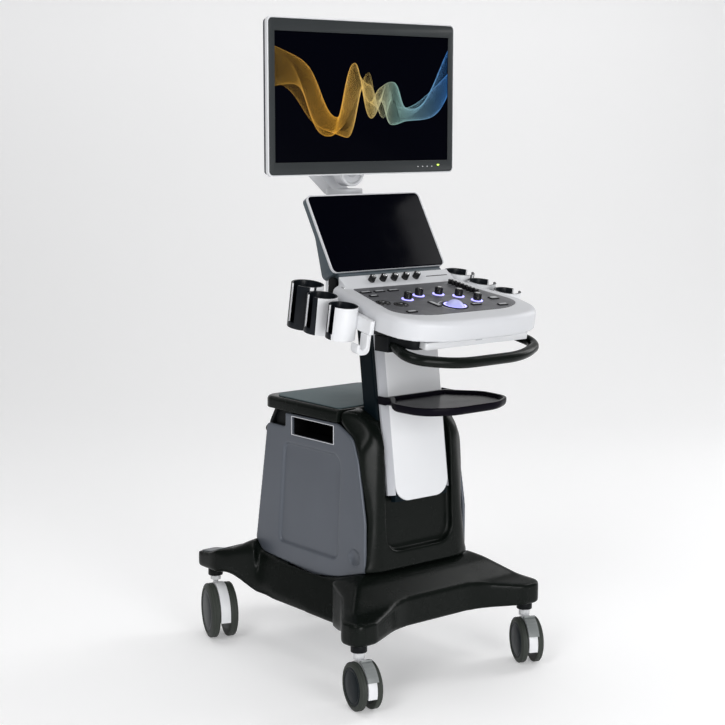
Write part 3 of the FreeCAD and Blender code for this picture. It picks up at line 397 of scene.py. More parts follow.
def ring(outer, inner, low, high, place=WORLD, bevel_mm=0.0):
    """A closed frame between two outlines that have the same number of corners."""
    work = bmesh.new()
    paths = (rounded(outer), rounded(inner))
    loops = []
    for path, height in ((paths[0], low), (paths[0], high), (paths[1], high), (paths[1], low)):
        loops.append([work.verts.new((*point, height)) for point in path])
    for level in range(4):
        here, there = loops[level], loops[(level + 1) % 4]
        for index in range(len(here)):
            after = (index + 1) % len(here)
            work.faces.new((here[index], here[after], there[after], there[index]))
    mesh = to_mesh("ring", work, place)
    return bevelled(mesh, bevel_mm, segments=2) if bevel_mm else mesh


def lathe(profile, place, steps=64):
    """Turn (radius, height) points about local Z; a zero radius closes an end."""
    work = bmesh.new()
    rings = []
    for radius, height in profile:
        turns = 1 if radius < 0.001 else steps
        angles = [2 * math.pi * turn / steps for turn in range(turns)]
        rings.append([
            work.verts.new((radius * math.cos(a), radius * math.sin(a), height)) for a in angles
        ])
    following = rings[1:] + ([] if profile[0][0] < 0.001 else rings[:1])
    for lower, upper in zip(rings, following):
        for turn in range(steps):
            corners = [
                lower[turn % len(lower)],
                lower[(turn + 1) % len(lower)],
                upper[(turn + 1) % len(upper)],
                upper[turn % len(upper)],
            ]
            work.faces.new(list(dict.fromkeys(corners)))
    return to_mesh("lathe", work, place)


def joined(*meshes):
    """Several meshes as one."""
    work = bmesh.new()
    for mesh in meshes:
        work.from_mesh(mesh)
    result = bpy.data.meshes.new("joined")
    work.to_mesh(result)
    work.free()
    return result


def raised(place, x, y, z):
    """A place moved by a local distance in millimetres."""
    return place @ Matrix.Translation(Vector((x, y, z)) * MM)


print("a rounded square has", len(rounded(rectangle((-5, 5), (-5, 5), 2))), "points")

# %% [markdown]
# ## Geometry Nodes for what repeats
#
# Vents, key caps, screws, grille bars and knob flutes are one shape repeated by a rule.
# Two node trees cover them: one lays copies out in rows and columns, the other sets them
# round a circle. The seed shape is the object's own mesh, so one tree serves many parts.


# %% Tree helpers
def new_tree(name, inputs):
    """A Geometry Nodes tree with named inputs, and its two end nodes."""
    tree = bpy.data.node_groups.new(name, "GeometryNodeTree")
    kinds = {"Geometry": "NodeSocketGeometry", "Finish": "NodeSocketMaterial", **inputs}
    for label, kind in kinds.items():
        tree.interface.new_socket(name=label, in_out="INPUT", socket_type=kind)
    tree.interface.new_socket(name="Geometry", in_out="OUTPUT", socket_type="NodeSocketGeometry")
    return tree, tree.nodes.new("NodeGroupInput"), tree.nodes.new("NodeGroupOutput")


def close_tree(tree, source, given, end):
    """Every tree ends the same way: real geometry with its finish set."""
    realize = tree.nodes.new("GeometryNodeRealizeInstances")
    paint = tree.nodes.new("GeometryNodeSetMaterial")
    tree.links.new(source, realize.inputs["Geometry"])
    tree.links.new(realize.outputs["Geometry"], paint.inputs["Geometry"])
    tree.links.new(given.outputs["Finish"], paint.inputs["Material"])
    tree.links.new(paint.outputs["Geometry"], end.inputs["Geometry"])


def grow(tree, seed, finish, settings):
    """Run a tree on a seed mesh and keep the plain mesh that it makes."""
    holder = bpy.data.objects.new("seed", seed)
    bpy.context.scene.collection.objects.link(holder)
    modifier = holder.modifiers.new("grow", "NODES")
    modifier.node_group = tree
    sockets = [item for item in tree.interface.items_tree if item.in_out == "INPUT"]
    identifiers = {item.name: item.identifier for item in sockets}
    modifier[identifiers["Finish"]] = MATERIALS[finish]
    for label, value in settings.items():
        modifier[identifiers[label]] = value
    graph = bpy.context.evaluated_depsgraph_get()
    result = bpy.data.meshes.new_from_object(holder.evaluated_get(graph), depsgraph=graph)
    bpy.data.objects.remove(holder)
    return result


print("tree helpers ready")

# %% Rows and columns
VECTOR = "NodeSocketVector"
WHOLE = "NodeSocketInt"
NUMBER = "NodeSocketFloat"

grid_tree, given, end = new_tree(
    "rows_and_columns",
    {"Columns": WHOLE, "Column step": VECTOR, "Rows": WHOLE, "Row step": VECTOR},
)
shape_socket = given.outputs["Geometry"]
for count_name, step_name in (("Columns", "Column step"), ("Rows", "Row step")):
    line = grid_tree.nodes.new("GeometryNodeMeshLine")
    line.mode = "OFFSET"
    scatter = grid_tree.nodes.new("GeometryNodeInstanceOnPoints")
    grid_tree.links.new(given.outputs[count_name], line.inputs["Count"])
    grid_tree.links.new(given.outputs[step_name], line.inputs["Offset"])
    grid_tree.links.new(line.outputs["Mesh"], scatter.inputs["Points"])
    grid_tree.links.new(shape_socket, scatter.inputs["Instance"])
    shape_socket = scatter.outputs["Instances"]
close_tree(grid_tree, shape_socket, given, end)


def in_grid(seed, finish, columns, column_step, rows, row_step, place=WORLD):
    """Copies of a seed mesh; the steps are millimetres in the place's own axes."""
    turn = place.to_3x3()
    settings = {
        "Columns": columns,
        "Column step": tuple(turn @ Vector(column_step) * MM),
        "Rows": rows,
        "Row step": tuple(turn @ Vector(row_step) * MM),
    }
    return grow(grid_tree, seed, finish, settings)


print("grid tree has", len(grid_tree.nodes), "nodes")

# %% Round a circle
circle_tree, given, end = new_tree("round_a_circle", {"Count": WHOLE})
turns = circle_tree.nodes.new("GeometryNodeMeshLine")
turns.mode = "OFFSET"
turns.inputs["Offset"].default_value = (0, 0, 0)
index = circle_tree.nodes.new("GeometryNodeInputIndex")
share = circle_tree.nodes.new("ShaderNodeMath")
share.operation = "DIVIDE"
angle = circle_tree.nodes.new("ShaderNodeMath")
angle.operation = "MULTIPLY"
angle.inputs[1].default_value = 2 * math.pi
about = circle_tree.nodes.new("ShaderNodeCombineXYZ")
copies = circle_tree.nodes.new("GeometryNodeInstanceOnPoints")
circle_tree.links.new(given.outputs["Count"], turns.inputs["Count"])
circle_tree.links.new(index.outputs["Index"], share.inputs[0])
circle_tree.links.new(given.outputs["Count"], share.inputs[1])
circle_tree.links.new(share.outputs["Value"], angle.inputs[0])
circle_tree.links.new(angle.outputs["Value"], about.inputs["Z"])
circle_tree.links.new(turns.outputs["Mesh"], copies.inputs["Points"])
circle_tree.links.new(given.outputs["Geometry"], copies.inputs["Instance"])
circle_tree.links.new(about.outputs["Vector"], copies.inputs["Rotation"])
close_tree(circle_tree, copies.outputs["Instances"], given, end)


def round_axis(seed, finish, count, place):
    """Copies of a seed drawn at the origin, turned about local Z, then placed."""
    mesh = grow(circle_tree, seed, finish, {"Count": count})
    mesh.transform(place)
    return mesh


print("circle tree has", len(circle_tree.nodes), "nodes")

# %% [markdown]
# ## Base and body
#
# The base is one large glossy moulding whose legs flow out of the middle, so it is
# relaxed strongly. The front cover is relaxed a little, which leaves a clear line where
# the column's channel begins. A second pass then levels out the step above each rear leg
# and rounds the cover's two shoulders. The side panels are sheet-like, so only their
# shallow recess is softened.

# %% Base, front cover, lid and mat
base = blend_node("base_cover", "gloss_shell", 3.6, 16)
WAIST_LOW, WAIST_HIGH = (140, 140, 110), (270, 310, 270)
flowed(base.data, 90, WAIST_LOW, WAIST_HIGH, 34)
front = blend_node("front_cover", "gloss_shell", 2.8, 5)
SHOULDER_LOW, SHOULDER_HIGH = (96, -240, 250), (200, 40, 640)
flowed(front.data, 60, SHOULDER_LOW, SHOULDER_HIGH, 10)
dress("top_lid", "gloss_shell", 1.6)
dress("top_mat", "mat_rubber", 1.4)
dress("caster_sockets", "satin_black", 1.2)
for inner in ("power_supply", "card_cage", "ballast_plate"):
    dress(inner, "sheet_metal", 1.0)
dress("bay_trays", "bay_black", 0.6)
dress("gas_spring_cylinder", "satin_black", 0.6)
dress("gas_spring_rod", "bright_metal", 0.5)

# %% [markdown]
# ## Painted sky reflection on the rear legs
#
# Each rear leg's top shows a pale blue-grey reflection of the sky, painted as a flat plate
# that follows the leg's slope. A grid is dropped straight down onto the relaxed base, lifted a
# little and given thickness, so the plate matches the curved moulding without any fitting by eye.

# %% Drop the painted reflection onto the base
base_tree = BVHTree.FromObject(base, bpy.context.evaluated_depsgraph_get())
SHEEN_PAD_LIFT = 1.6
SHEEN_PAD_THICKNESS = 2.4
SHEEN_PAD_OUTLINE = [(142, 268, 10), (196, 305, 14), (200, 380, 8), (158, 380, 8)]


def leg_pad(sign):
    """A thin plate that follows the top of a rear leg, coloured as a painted sky reflection."""
    outline = rounded(SHEEN_PAD_OUTLINE, steps=5)
    work = bmesh.new()
    loop = [work.verts.new((sign * point.x, point.y, 0)) for point in outline]
    work.faces.new(loop)
    bmesh.ops.triangulate(work, faces=work.faces)
    for _ in range(4):
        bmesh.ops.subdivide_edges(work, edges=work.edges, cuts=1, use_grid_fill=True)
    for vert in work.verts:
        above = Vector((vert.co.x, vert.co.y, 300)) * MM
        hit = base_tree.ray_cast(above, Vector((0, 0, -1)))[0]
        vert.co.z = hit.z / MM + SHEEN_PAD_LIFT
    mesh = to_mesh("pad", work, WORLD)
    if mesh.polygons[0].normal.z < 0:
        mesh.flip_normals()
    wall = {"thickness": SHEEN_PAD_THICKNESS * MM, "offset": -1.0}
    return shaped(mesh, ("SOLIDIFY", wall))


for side, sign in (("left", -1), ("right", 1)):
    # Each plate's pale blue-grey is a painted sky reflection on the glossy leg top.
    pad = add_piece(f"rear_leg_pad_{side}", leg_pad(sign), "pad_grey", "base", sharp=40)
    print(pad.name, len(pad.data.polygons), "faces")

# %% Side panels, bay edging and dimples
EDGING_OUTER = rectangle((-50.6, 99.6), (497.4, 539.6), 2.5)
EDGING_INNER = rectangle((-49, 98), (499, 538), 1.5)
DIMPLE_DEPTH = [
    (0, -5.4), (7, -4.7), (13, -2.7), (17, -0.6), (18.4, 0.7),
    (19.4, 0.5), (19.4, -0.4), (14, -5.6), (7, -7.0), (0, -7.4),
]
for side, sign in (("left", -1), ("right", 1)):
    blend_node(f"side_panel_{side}", "panel_paint", 2.0, 9)
    face = Matrix.Translation((sign * 143 * MM, 0, 0)) @ Matrix.Rotation(math.pi / 2, 4, "Z")
    face = face @ Matrix.Rotation(math.pi / 2, 4, "X")
    reach = (-0.2, 0.9) if sign > 0 else (-0.9, 0.2)
    edging = ring(EDGING_OUTER, EDGING_INNER, *reach, face, bevel_mm=0.3)
    add_piece(f"bay_edging_{side}", edging, "edge_light", "base")
    dimple_place = Matrix.Translation(Vector((sign * 142.2, -119, 267)) * MM)
    dimple_place = dimple_place @ Matrix.Rotation(sign * math.pi / 2, 4, "Y")
    dimple = lathe(DIMPLE_DEPTH, dimple_place, steps=48)
    add_piece(f"panel_dimple_{side}", dimple, "panel_paint", "base", sharp=50)
print("side panels dressed")

# %% [markdown]
# ## The rear cover
#
# The rear carries what the front hides: rows of air slots, a round fan grille, a panel
# of sockets and its screws. The slots and screws are Geometry Nodes rows, and the grille
# is one bar repeated round a circle.

# %% Rear cover
def rear_face(y, z, lean):
    """A frame on the rear cover: X to the left of the machine, Z outwards."""
    turn = Matrix.Rotation(math.radians(180), 4, "Z") @ Matrix.Rotation(math.radians(90 - lean), 4, "X")
    return Matrix.Translation(Vector((0, y, z)) * MM) @ turn


REAR = rear_face(225.2, 311, 9.9)
REAR_UPPER = rear_face(202.9, 447.5, 8.8)
dress("rear_cover", "satin_black", 1.5)
slat = slab(rectangle((-3, 3), (-1.6, 1.6), 1.5), 0, 2.2, raised(REAR_UPPER, -105, 45, 0))
slats = in_grid(slat, "gloss_shell", 22, (10, 0, 0), 6, (0, -10, 0), REAR_UPPER)
add_piece("rear_air_slats", slats, "gloss_shell", "base", sharp=40)
grille_place = raised(REAR, -62, 2, 0)
spoke = slab(rectangle((9, 39), (-0.9, 0.9)), 0.2, 2.6)
spokes = round_axis(spoke, "satin_black", 20, grille_place)
hoops = []
for radius in (10, 20, 30, 40):
    inside, outside = radius - 1.1, radius + 1.1
    section = [(inside, 0.2), (inside, 3.2), (outside, 3.2), (outside, 0.2)]
    hoops.append(lathe(section, grille_place))
add_piece("fan_grille", joined(spokes, *hoops), "satin_black", "base", sharp=40)
plate = slab(rectangle((-58, 58), (-44, 44), 5), 0.2, 2.6, raised(REAR, 60, 4, 0), bevel_mm=0.6)
add_piece("socket_plate", plate, "sheet_metal", "base")
socket = ring(rectangle((-9, 9), (-5, 5), 1.5), rectangle((-7, 7), (-3.2, 3.2), 1), 2.4, 6.0,
              raised(REAR, 22, 30, 0), bevel_mm=0.3)
sockets = in_grid(socket, "knob_plastic", 4, (25, 0, 0), 2, (0, -18, 0), REAR)
inlet_place = raised(REAR, 60, -22, 0)
inlet = ring(rectangle((-16, 16), (-12, 12), 4), rectangle((-12, 12), (-8, 8), 3), 2.4, 9.0,
             inlet_place, bevel_mm=0.5)
floor_plate = slab(rectangle((-13, 13), (-9, 9), 3), 2.4, 3.4, inlet_place)
pins = [slab(rectangle((x - 1, x + 1), (-3, 3)), 3, 8, inlet_place) for x in (-6, 0, 6)]
add_piece("rear_sockets", joined(sockets, inlet, floor_plate), "knob_plastic", "base", sharp=40)
add_piece("inlet_pins", joined(*pins), "bright_metal", "base", sharp=40)
print("rear cover dressed")

# %% Screws
def screw_head(place, radius=3.2):
    """The dome and the cross slot of a screw, seen from local +Z."""
    section = [(0, 1.2), (radius * 0.7, 1.0), (radius, 0.2), (radius, -1.0), (0, -1.0)]
    dome = lathe(section, place, steps=20)
    bars = [
        slab(rectangle((-radius * 0.5, radius * 0.5), (-0.4, 0.4)), 0.9, 1.35, place),
        slab(rectangle((-0.4, 0.4), (-radius * 0.5, radius * 0.5)), 0.9, 1.35, place),
    ]
    return dome, joined(*bars)


heads, slots = [], []
for place, columns, step, rows, drop in (
    (raised(REAR_UPPER, -126, 58, 0), 2, 252, 2, -118),
    (raised(REAR, -126, 62, 0), 2, 252, 2, -124),
):
    head, cross = screw_head(place)
    heads.append(in_grid(head, "bright_metal", columns, (step, 0, 0), rows, (0, drop, 0), place))
    slots.append(in_grid(cross, "knob_plastic", columns, (step, 0, 0), rows, (0, drop, 0), place))
add_piece("rear_screws", joined(*heads), "bright_metal", "base", sharp=40)
add_piece("rear_screw_slots", joined(*slots), "knob_plastic", "base", sharp=40)
print("screws", len(heads) * 4)

# %% [markdown]
# ## Casters
#
# A medical twin-wheel caster has a soft tread moulded round a hard hub, and a smooth disc
# covers the hub. All of them are turned shapes, so each is a lathe profile placed on the
# axle that the frame's roll joint gives.

# %% Wheels on their axles
JOINTS = {joint["name"]: joint for joint in frame["joints"]}


def axle_place(tag):
    """Local Z along the axle, at the middle of the twin wheels."""
    joint = JOINTS[f"caster_{tag}_roll"]
    turn = Vector(joint["axis"]).to_track_quat("Z", "Y").to_matrix().to_4x4()
    return Matrix.Translation(joint["pos_m"]) @ turn


CASTER_SIZES = {"f": (50.0, 26.0, 9.5), "r": (62.5, 31.5, 11.0)}


def tread_profile(radius, near, far):
    """The soft tread of one wheel, between its inner and outer faces."""
    shoulder = 0.84 * radius
    return rounded([
        (shoulder - 3, near + 0.8),
        (radius - 0.3, near + 0.8, 3),
        (radius, (near + far) / 2 - 2, 6),
        (radius - 0.9, (near + far) / 2),
        (radius, (near + far) / 2 + 2, 6),
        (radius - 0.6, far - 3.5, 4),
        (shoulder, far, 2),
        (shoulder - 3, far - 2.5, 1),
    ], steps=4)


def hub_profile(radius, far):
    """The crowned disc that covers the hub, with a shallow ring groove."""
    rim = 0.84 * radius - 2.4
    return [
        (0, far - 0.1), (0.2 * radius, far - 0.3), (0.62 * radius, far - 1.0),
        (0.66 * radius, far - 1.8), (0.70 * radius, far - 1.1), (rim - 3, far - 1.5),
        (rim, far - 2.6), (rim, far - 12), (0, far - 12),
    ]


for tag in ("fl", "fr", "rl", "rr"):
    radius, far, near = CASTER_SIZES[tag[0]]
    treads, hubs = [], []
    for turn in (0, math.pi):
        place = axle_place(tag) @ Matrix.Rotation(turn, 4, "X")
        treads.append(lathe([(p[0], p[1]) for p in tread_profile(radius, near, far)], place, 72))
        hubs.append(lathe(hub_profile(radius, far), place, 72))
        core = 0.8 * radius
        section = [(5, near + 1), (core, near + 1), (core, far - 4), (5, far - 4)]
        hubs.append(lathe(section, place, 48))
    wheels = f"wheels_{tag}"
    add_piece(f"caster_{tag}_treads", joined(*treads), "tread", wheels, (f"caster_{tag}_wheels",), 50)
    add_piece(f"caster_{tag}_hubs", joined(*hubs), "hub_plastic", wheels, (), 35)
    dress(f"caster_{tag}_housing", "white_abs", 0.9)
print("wheels turned on", len(CASTER_SIZES), "sizes")

# %% Pedals with grip ribs
RIB_DISTANCE = 56.6
for tag in ("fl", "fr"):
    dress(f"caster_{tag}_pedal", "pedal_plastic", 1.0)
    hub = axle_place(tag)
    axle = Vector(JOINTS[f"caster_{tag}_roll"]["axis"])
    ribs = []
    for degrees in (34, 42, 50, 58):
        forward = Vector((axle.y, -axle.x, 0))
        rise = math.radians(degrees)
        out = forward * math.cos(rise) + Vector((0, 0, math.sin(rise)))
        across = Vector((0, 0, 1)).cross(forward)
        turn = Matrix((across, out.cross(across), out)).transposed().to_4x4()
        place = Matrix.Translation(hub.translation + out * RIB_DISTANCE * MM) @ turn
        ribs.append(slab(rectangle((-10, 10), (-0.9, 0.9), 0.8), 0, 1.4, place))
    add_piece(f"pedal_ribs_{tag}", joined(*ribs), "pedal_plastic", f"pedal_{tag}", sharp=40)
print("pedals ribbed")

# %% [markdown]
# ## Column and shelf
#
# The column is a dark extrusion with a white cover in front and a grey strip down each
# edge. The cover's edges are rolled over by a couple of millimetres.

# %% Column
dress("column_shell", "column_paint", 1.6)
dress("column_side_trims", "trim_grey", 1.0)
dress("column_cover", "white_abs", 2.4)
blend_node("utility_shelf", "shelf_gloss", 1.5, 5)
print("column leans", round(math.degrees(COLUMN.to_euler().x), 1), "degrees")

# %% [markdown]
# ## Console shell, pan and drawer
#
# The shell is a soft-edged light grey moulding over a dark pan, and a shallow drawer
# between them holds the keyboard. The keyboard's keys are one tapered cap repeated in
# rows by the grid tree.

# %% Shell, pan, handle and drawer
blend_node("console_shell", "light_grey", 2.2, 3)
dress("console_base", "satin_black", 1.2)
dress("push_handle", "gloss_shell", 1.2)
dress("keyboard_drawer", "white_abs", 1.2)
dress("cable_hooks", "white_abs", 1.6)
dress("control_plate", "deck_foil", 0.4)
DRAWER_FLOOR = -52.4
cap = slab(rectangle((-7.4, 7.4), (-7.4, 7.4), 1.6), 0, 4.6,
           raised(DECK, -114, -32, DRAWER_FLOOR), bevel_mm=0.9)
caps = in_grid(cap, "knob_plastic", 14, (17.5, 0, 0), 5, (0, -23, 0), DECK)
add_piece("keyboard_keys", caps, "knob_plastic", "keyboard")
pull_place = raised(DECK, 0, -150, -49) @ Matrix.Rotation(math.pi / 2, 4, "X")
pull = slab(rectangle((-9, 9), (-1.2, 1.2), 1.1), 0, 0.7, pull_place)
add_piece("drawer_mark", pull, "trim_grey", "keyboard", sharp=40)
slit_place = raised(DECK, 108, 114, 9.2) @ Matrix.Rotation(math.radians(26.6), 4, "X")
slit = slab(rectangle((-30, 30), (-0.9, 0.9), 0.8), -0.4, 0.25, slit_place)
add_piece("fascia_slit", slit, "knob_plastic", "console", sharp=40)
power_place = raised(DECK, -150, 108, 0.0)
power_ring = lathe([(4.2, -0.6), (4.2, 1.0), (5.0, 1.4), (6.4, 1.0), (6.6, -0.6)], power_place, 40)
add_piece("power_key_ring", power_ring, "bright_metal", "console", sharp=40)
power_key = lathe([(0, 0.9), (3.4, 0.8), (4.0, 0.4), (4.0, -0.6), (0, -0.6)], power_place, 40)
add_piece("power_key", power_key, "power_soft", "console", sharp=40)
print("console dressed")

# %% [markdown]
# ## Where the controls are
#
# The frame groups controls of one kind in one node. Walking over connected vertices
# gives the box of each separate key, slider or ring in the deck's own axes, so every
# added cap and inlay finds its place from the frame.


# %% Boxes of the separate solids in a node
def islands(node, place):
    """Local (low, high) corners, in millimetres, of each solid that shares a node."""
    work = bmesh.new()
    work.from_mesh(welded(node, dissolve=0))
    back = (place @ Matrix.Scale(MM, 4)).inverted()
    seen, boxes = set(), []
    for first in work.verts:
        if first in seen:
            continue
        seen.add(first)
        waiting, points = [first], []
        while waiting:
            vert = waiting.pop()
            points.append(back @ vert.co)
            for edge in vert.link_edges:
                other = edge.other_vert(vert)
                if other not in seen:
                    seen.add(other)
                    waiting.append(other)
        axes = list(zip(*points))
        boxes.append((Vector([min(a) for a in axes]), Vector([max(a) for a in axes])))
    work.free()
    return boxes


KEYS = islands("key_buttons", DECK)
print(len(KEYS), "deck keys")

# %% Keys with pale inlays
dress("key_buttons", "knob_plastic", 0.6)
inlays, hollows, collars, ticks = [], [], [], []
for low, high in KEYS:
    middle = (low + high) / 2
    size = high - low
    top = raised(DECK, middle.x, middle.y, high.z)
    if abs(size.x - size.y) > 0.5:
        half_x, half_y = size.x / 2 - 2.4, size.y / 2 - 2.4
        corner = min(half_x, half_y) * 0.8
        inlays.append(slab(rectangle((-half_x, half_x), (-half_y, half_y), corner), -0.1, 0.35, top))
        continue
    wide = size.x
    rim = [(wide * 0.22, 0.0), (wide * 0.26, 0.9), (wide * 0.40, 0.9), (wide * 0.44, 0.0)]
    hollows.append(lathe(rim, top, 40))
    edge = wide / 2
    collar = [(edge + 0.6, -0.2), (edge + 0.6, 1.2), (edge + 2.0, 1.7), (edge + 4.2, 1.1), (edge + 4.6, -0.2)]
    collars.append(lathe(collar, raised(DECK, middle.x, middle.y, 0), 48))
    ticks.append(slab(rectangle((-2.6, 2.6), (-1.0, 1.0), 0.8), -0.1, 0.3, top))
add_piece("key_inlays", joined(*inlays), "trim_light", "keys", sharp=40)
add_piece("round_key_collars", joined(*collars), "knob_plastic", "console", sharp=40)
add_piece("round_key_marks", joined(*ticks), "edge_light", "keys", sharp=40)
add_piece("round_key_rims", joined(*hollows), "knob_plastic", "keys", sharp=40)
print(len(inlays), "inlays")

# %% Sliders
dress("tgc_sliders", "knob_plastic", 0.8)
marks = []
for low, high in islands("tgc_sliders", DECK):
    middle = (low + high) / 2
    top = raised(DECK, middle.x, middle.y, high.z)
    marks.append(slab(rectangle((-0.5, 0.5), (-2.6, 2.6), 0.3), -0.1, 0.3, top))
add_piece("slider_marks", joined(*marks), "edge_light", "sliders", sharp=40)
rail = slab(rectangle((-13, 13), (-0.25, 0.25)), -0.1, 0.15, raised(DECK, 116, 81.6, 0))
rails = in_grid(rail, "trim_light", 1, (0, 0, 0), 9, (0, -11.5, 0), DECK)
add_piece("slider_scale", rails, "trim_light", "console", sharp=40)
print(len(marks), "sliders")

# %% [markdown]
# ## Knobs and encoders
#
# A knob is a turned core with moulded flutes and a bright cap. One flute is drawn and
# the circle tree sets it round the core, which is how the tool that cuts the real mould
# would be indexed.


# %% Turned knobs
def fluted_knob(name, place, radius, height, lift, flutes):
    """Core, flutes and bright cap of one knob, whose node and body share its name."""
    core = lathe(rounded([
        (0, lift), (radius - 0.2, lift), (radius, lift + 1.6, 0.6), (radius - 0.8, lift + 2.6, 0.4),
        (radius - 1.3, height - 1.6), (radius - 2.4, height - 0.2, 0.8), (0, height - 0.2),
    ], steps=3), place, 56)
    rib = slab(rectangle((radius - 2.2, radius - 0.35), (-0.42, 0.42), 0.3), lift + 2.2, height - 1.6)
    ribs = round_axis(rib, "knob_plastic", flutes, place)
    add_piece(f"{name}_grip", joined(core, ribs), "knob_plastic", name, (name,), 40)
    cap = lathe([
        (0, height), (radius * 0.52, height - 0.1), (radius * 0.62, height - 0.5),
        (radius * 0.62, height - 1.2), (0, height - 1.2),
    ], place, 48)
    add_piece(f"{name}_cap", cap, "bright_metal", name, (), 35)


FASCIA_LEAN = math.atan2(17, 34)
TO_DECK = (DECK @ Matrix.Scale(MM, 4)).inverted()
for number in range(1, 6):
    name = f"knob_{number}"
    spot = TO_DECK @ Vector(JOINTS[f"{name}_turn"]["pos_m"])
    place = raised(DECK, spot.x, spot.y, 0)
    fluted_knob(name, place, 9.0, 16.6, 1.6, 28)
for number in range(1, 6):
    name = f"encoder_{number}"
    spot = TO_DECK @ Vector(JOINTS[f"{name}_turn"]["pos_m"])
    place = raised(DECK, spot.x, 114, 9) @ Matrix.Rotation(FASCIA_LEAN, 4, "X")
    fluted_knob(name, place, 7.5, 14.4, 0.4, 22)
print("ten knobs turned")

# %% Lit rings and trackball
ring_materials = frame["nodes"]["light_rings"].data.materials
ring_materials.clear()
ring_materials.append(MATERIALS["ring_glow"])
ball_spot = TO_DECK @ Vector(JOINTS["trackball_roll"]["pos_m"])
BALL_RADIUS = 22.0
LINE_INNER, LINE_OUTER = 33.4, 34.6
arc = [math.pi * step / 40 for step in range(41)]
sphere_outline = [(BALL_RADIUS * math.sin(a), BALL_RADIUS * math.cos(a)) for a in arc]
ball = lathe(sphere_outline, raised(DECK, *ball_spot), 80)
add_piece("trackball_lens", ball, "ball_glow", "ball", ("trackball",), 60)
bezel_place = raised(DECK, ball_spot.x, ball_spot.y, 0)
bezel = lathe([(24.3, -0.2), (24.6, 1.5), (26.4, 1.9), (28.2, 1.2), (28.6, -0.2)], bezel_place, 96)
add_piece("trackball_bezel", bezel, "hub_plastic", "console", (), 35)
sweep = [math.radians(100 + 8 * step) for step in range(17)]
directions = [(math.cos(a), math.sin(a)) for a in sweep]
arc_work = bmesh.new()
inner = [arc_work.verts.new((x * LINE_INNER, y * LINE_INNER, 0)) for x, y in directions]
outer = [arc_work.verts.new((x * LINE_OUTER, y * LINE_OUTER, 0)) for x, y in directions]
for step in range(len(sweep) - 1):
    arc_work.faces.new((inner[step], outer[step], outer[step + 1], inner[step + 1]))
flat_arc = to_mesh("arc", arc_work, raised(bezel_place, 0, 0, 0.3))
arc_mesh = shaped(flat_arc, ("SOLIDIFY", {"thickness": 0.4 * MM}))
add_piece("deck_arc_line", arc_mesh, "edge_light", "console", sharp=40)
print("ball at", [round(v, 1) for v in ball_spot])

# %% [markdown]
# ## Probe cups
#
# Each cup has a white front half and a black liner inside. Its outer half is painted black as
# shade, and this painted shade runs on into the liner. The bevelled copy keeps its walls, and
# each face takes a colour from where it stands round its own cup's axis. The axes come from the
# frame's stated openings. For each cup the table gives where the painted shade starts, in
# degrees, then the outer radius and the height in millimetres.

# %% Cups: white halves, black liners and painted shade
CUPS = {"1": (-14, 30.0, 68.0), "2": (-38, 31.5, 78.0), "3": (-64, 34.0, 92.0)}
OPENINGS = {entry["name"]: entry for entry in frame["record"]["physics"]["openings"]}
for side, sign in (("left", -1), ("right", 1)):
    node = f"probe_holder_{side}"
    mesh = bevelled(welded(node), 1.1)
    cups = []
    for number, (degrees, radius, tall) in CUPS.items():
        low, high = OPENINGS[f"probe_cup_{side}_{number}"]["box_m"]
        centre = TO_DECK @ ((Vector(low) + Vector(high)) / 2)
        cups.append((centre, math.radians(degrees), radius, tall))
    piece = add_piece(node + "_moulding", mesh, "white_abs", "console", (node,))
    mesh.materials.append(MATERIALS["cup_liner_black_and_shade"])
    dark = 0
    for face in mesh.polygons:
        spot = TO_DECK @ face.center
        axis, start, radius, tall = min(cups, key=lambda cup: (cup[0].xy - spot.xy).length - cup[2])
        offset = spot.xy - axis.xy
        outward, rearward = sign * offset.x, offset.y
        around = math.atan2(rearward, outward)
        # The liner inside each cup is black in its own right; the cup's outer half is black as painted shade.
        lined = offset.length < radius - 2.4 and spot.z > axis.z - 0.58 * tall
        shaded = start < around < start + math.radians(170) and offset.length > radius - 1
        if offset.length < radius + 0.6 and (lined or shaded):
            face.material_index = 1
            dark += 1
    print(piece.name, dark, "dark faces of", len(mesh.polygons))

# %% [markdown]
# ## Touch screen
#
# A dark glass sits in a thin pale frame on a blue-grey housing that tapers to its hinge.

# %% Touch screen
dress("touch_housing", "blue_grey", 2.0)
dress("touch_glass", "dark_glass", 0.6)
TOUCH_FACE = TOUCH @ Matrix.Rotation(math.pi / 2, 4, "X")
frame_outer = rectangle((-156.4, 156.4), (1.6, 183.6), 13)
frame_inner = rectangle((-152.7, 152.7), (2.3, 180.7), 10.2)
surround = ring(frame_outer, frame_inner, -5.0, -0.4, TOUCH_FACE, bevel_mm=0.7)
add_piece("touch_surround", surround, "light_grey", "touch_screen")
print("touch screen leans", round(math.degrees(TOUCH.to_euler().x), 1))

# %% [markdown]
# ## Arm and head
#
# The arm's links are light grey castings with covers over the pivots. Under the monitor
# the head carries a round cover with a raised rim.

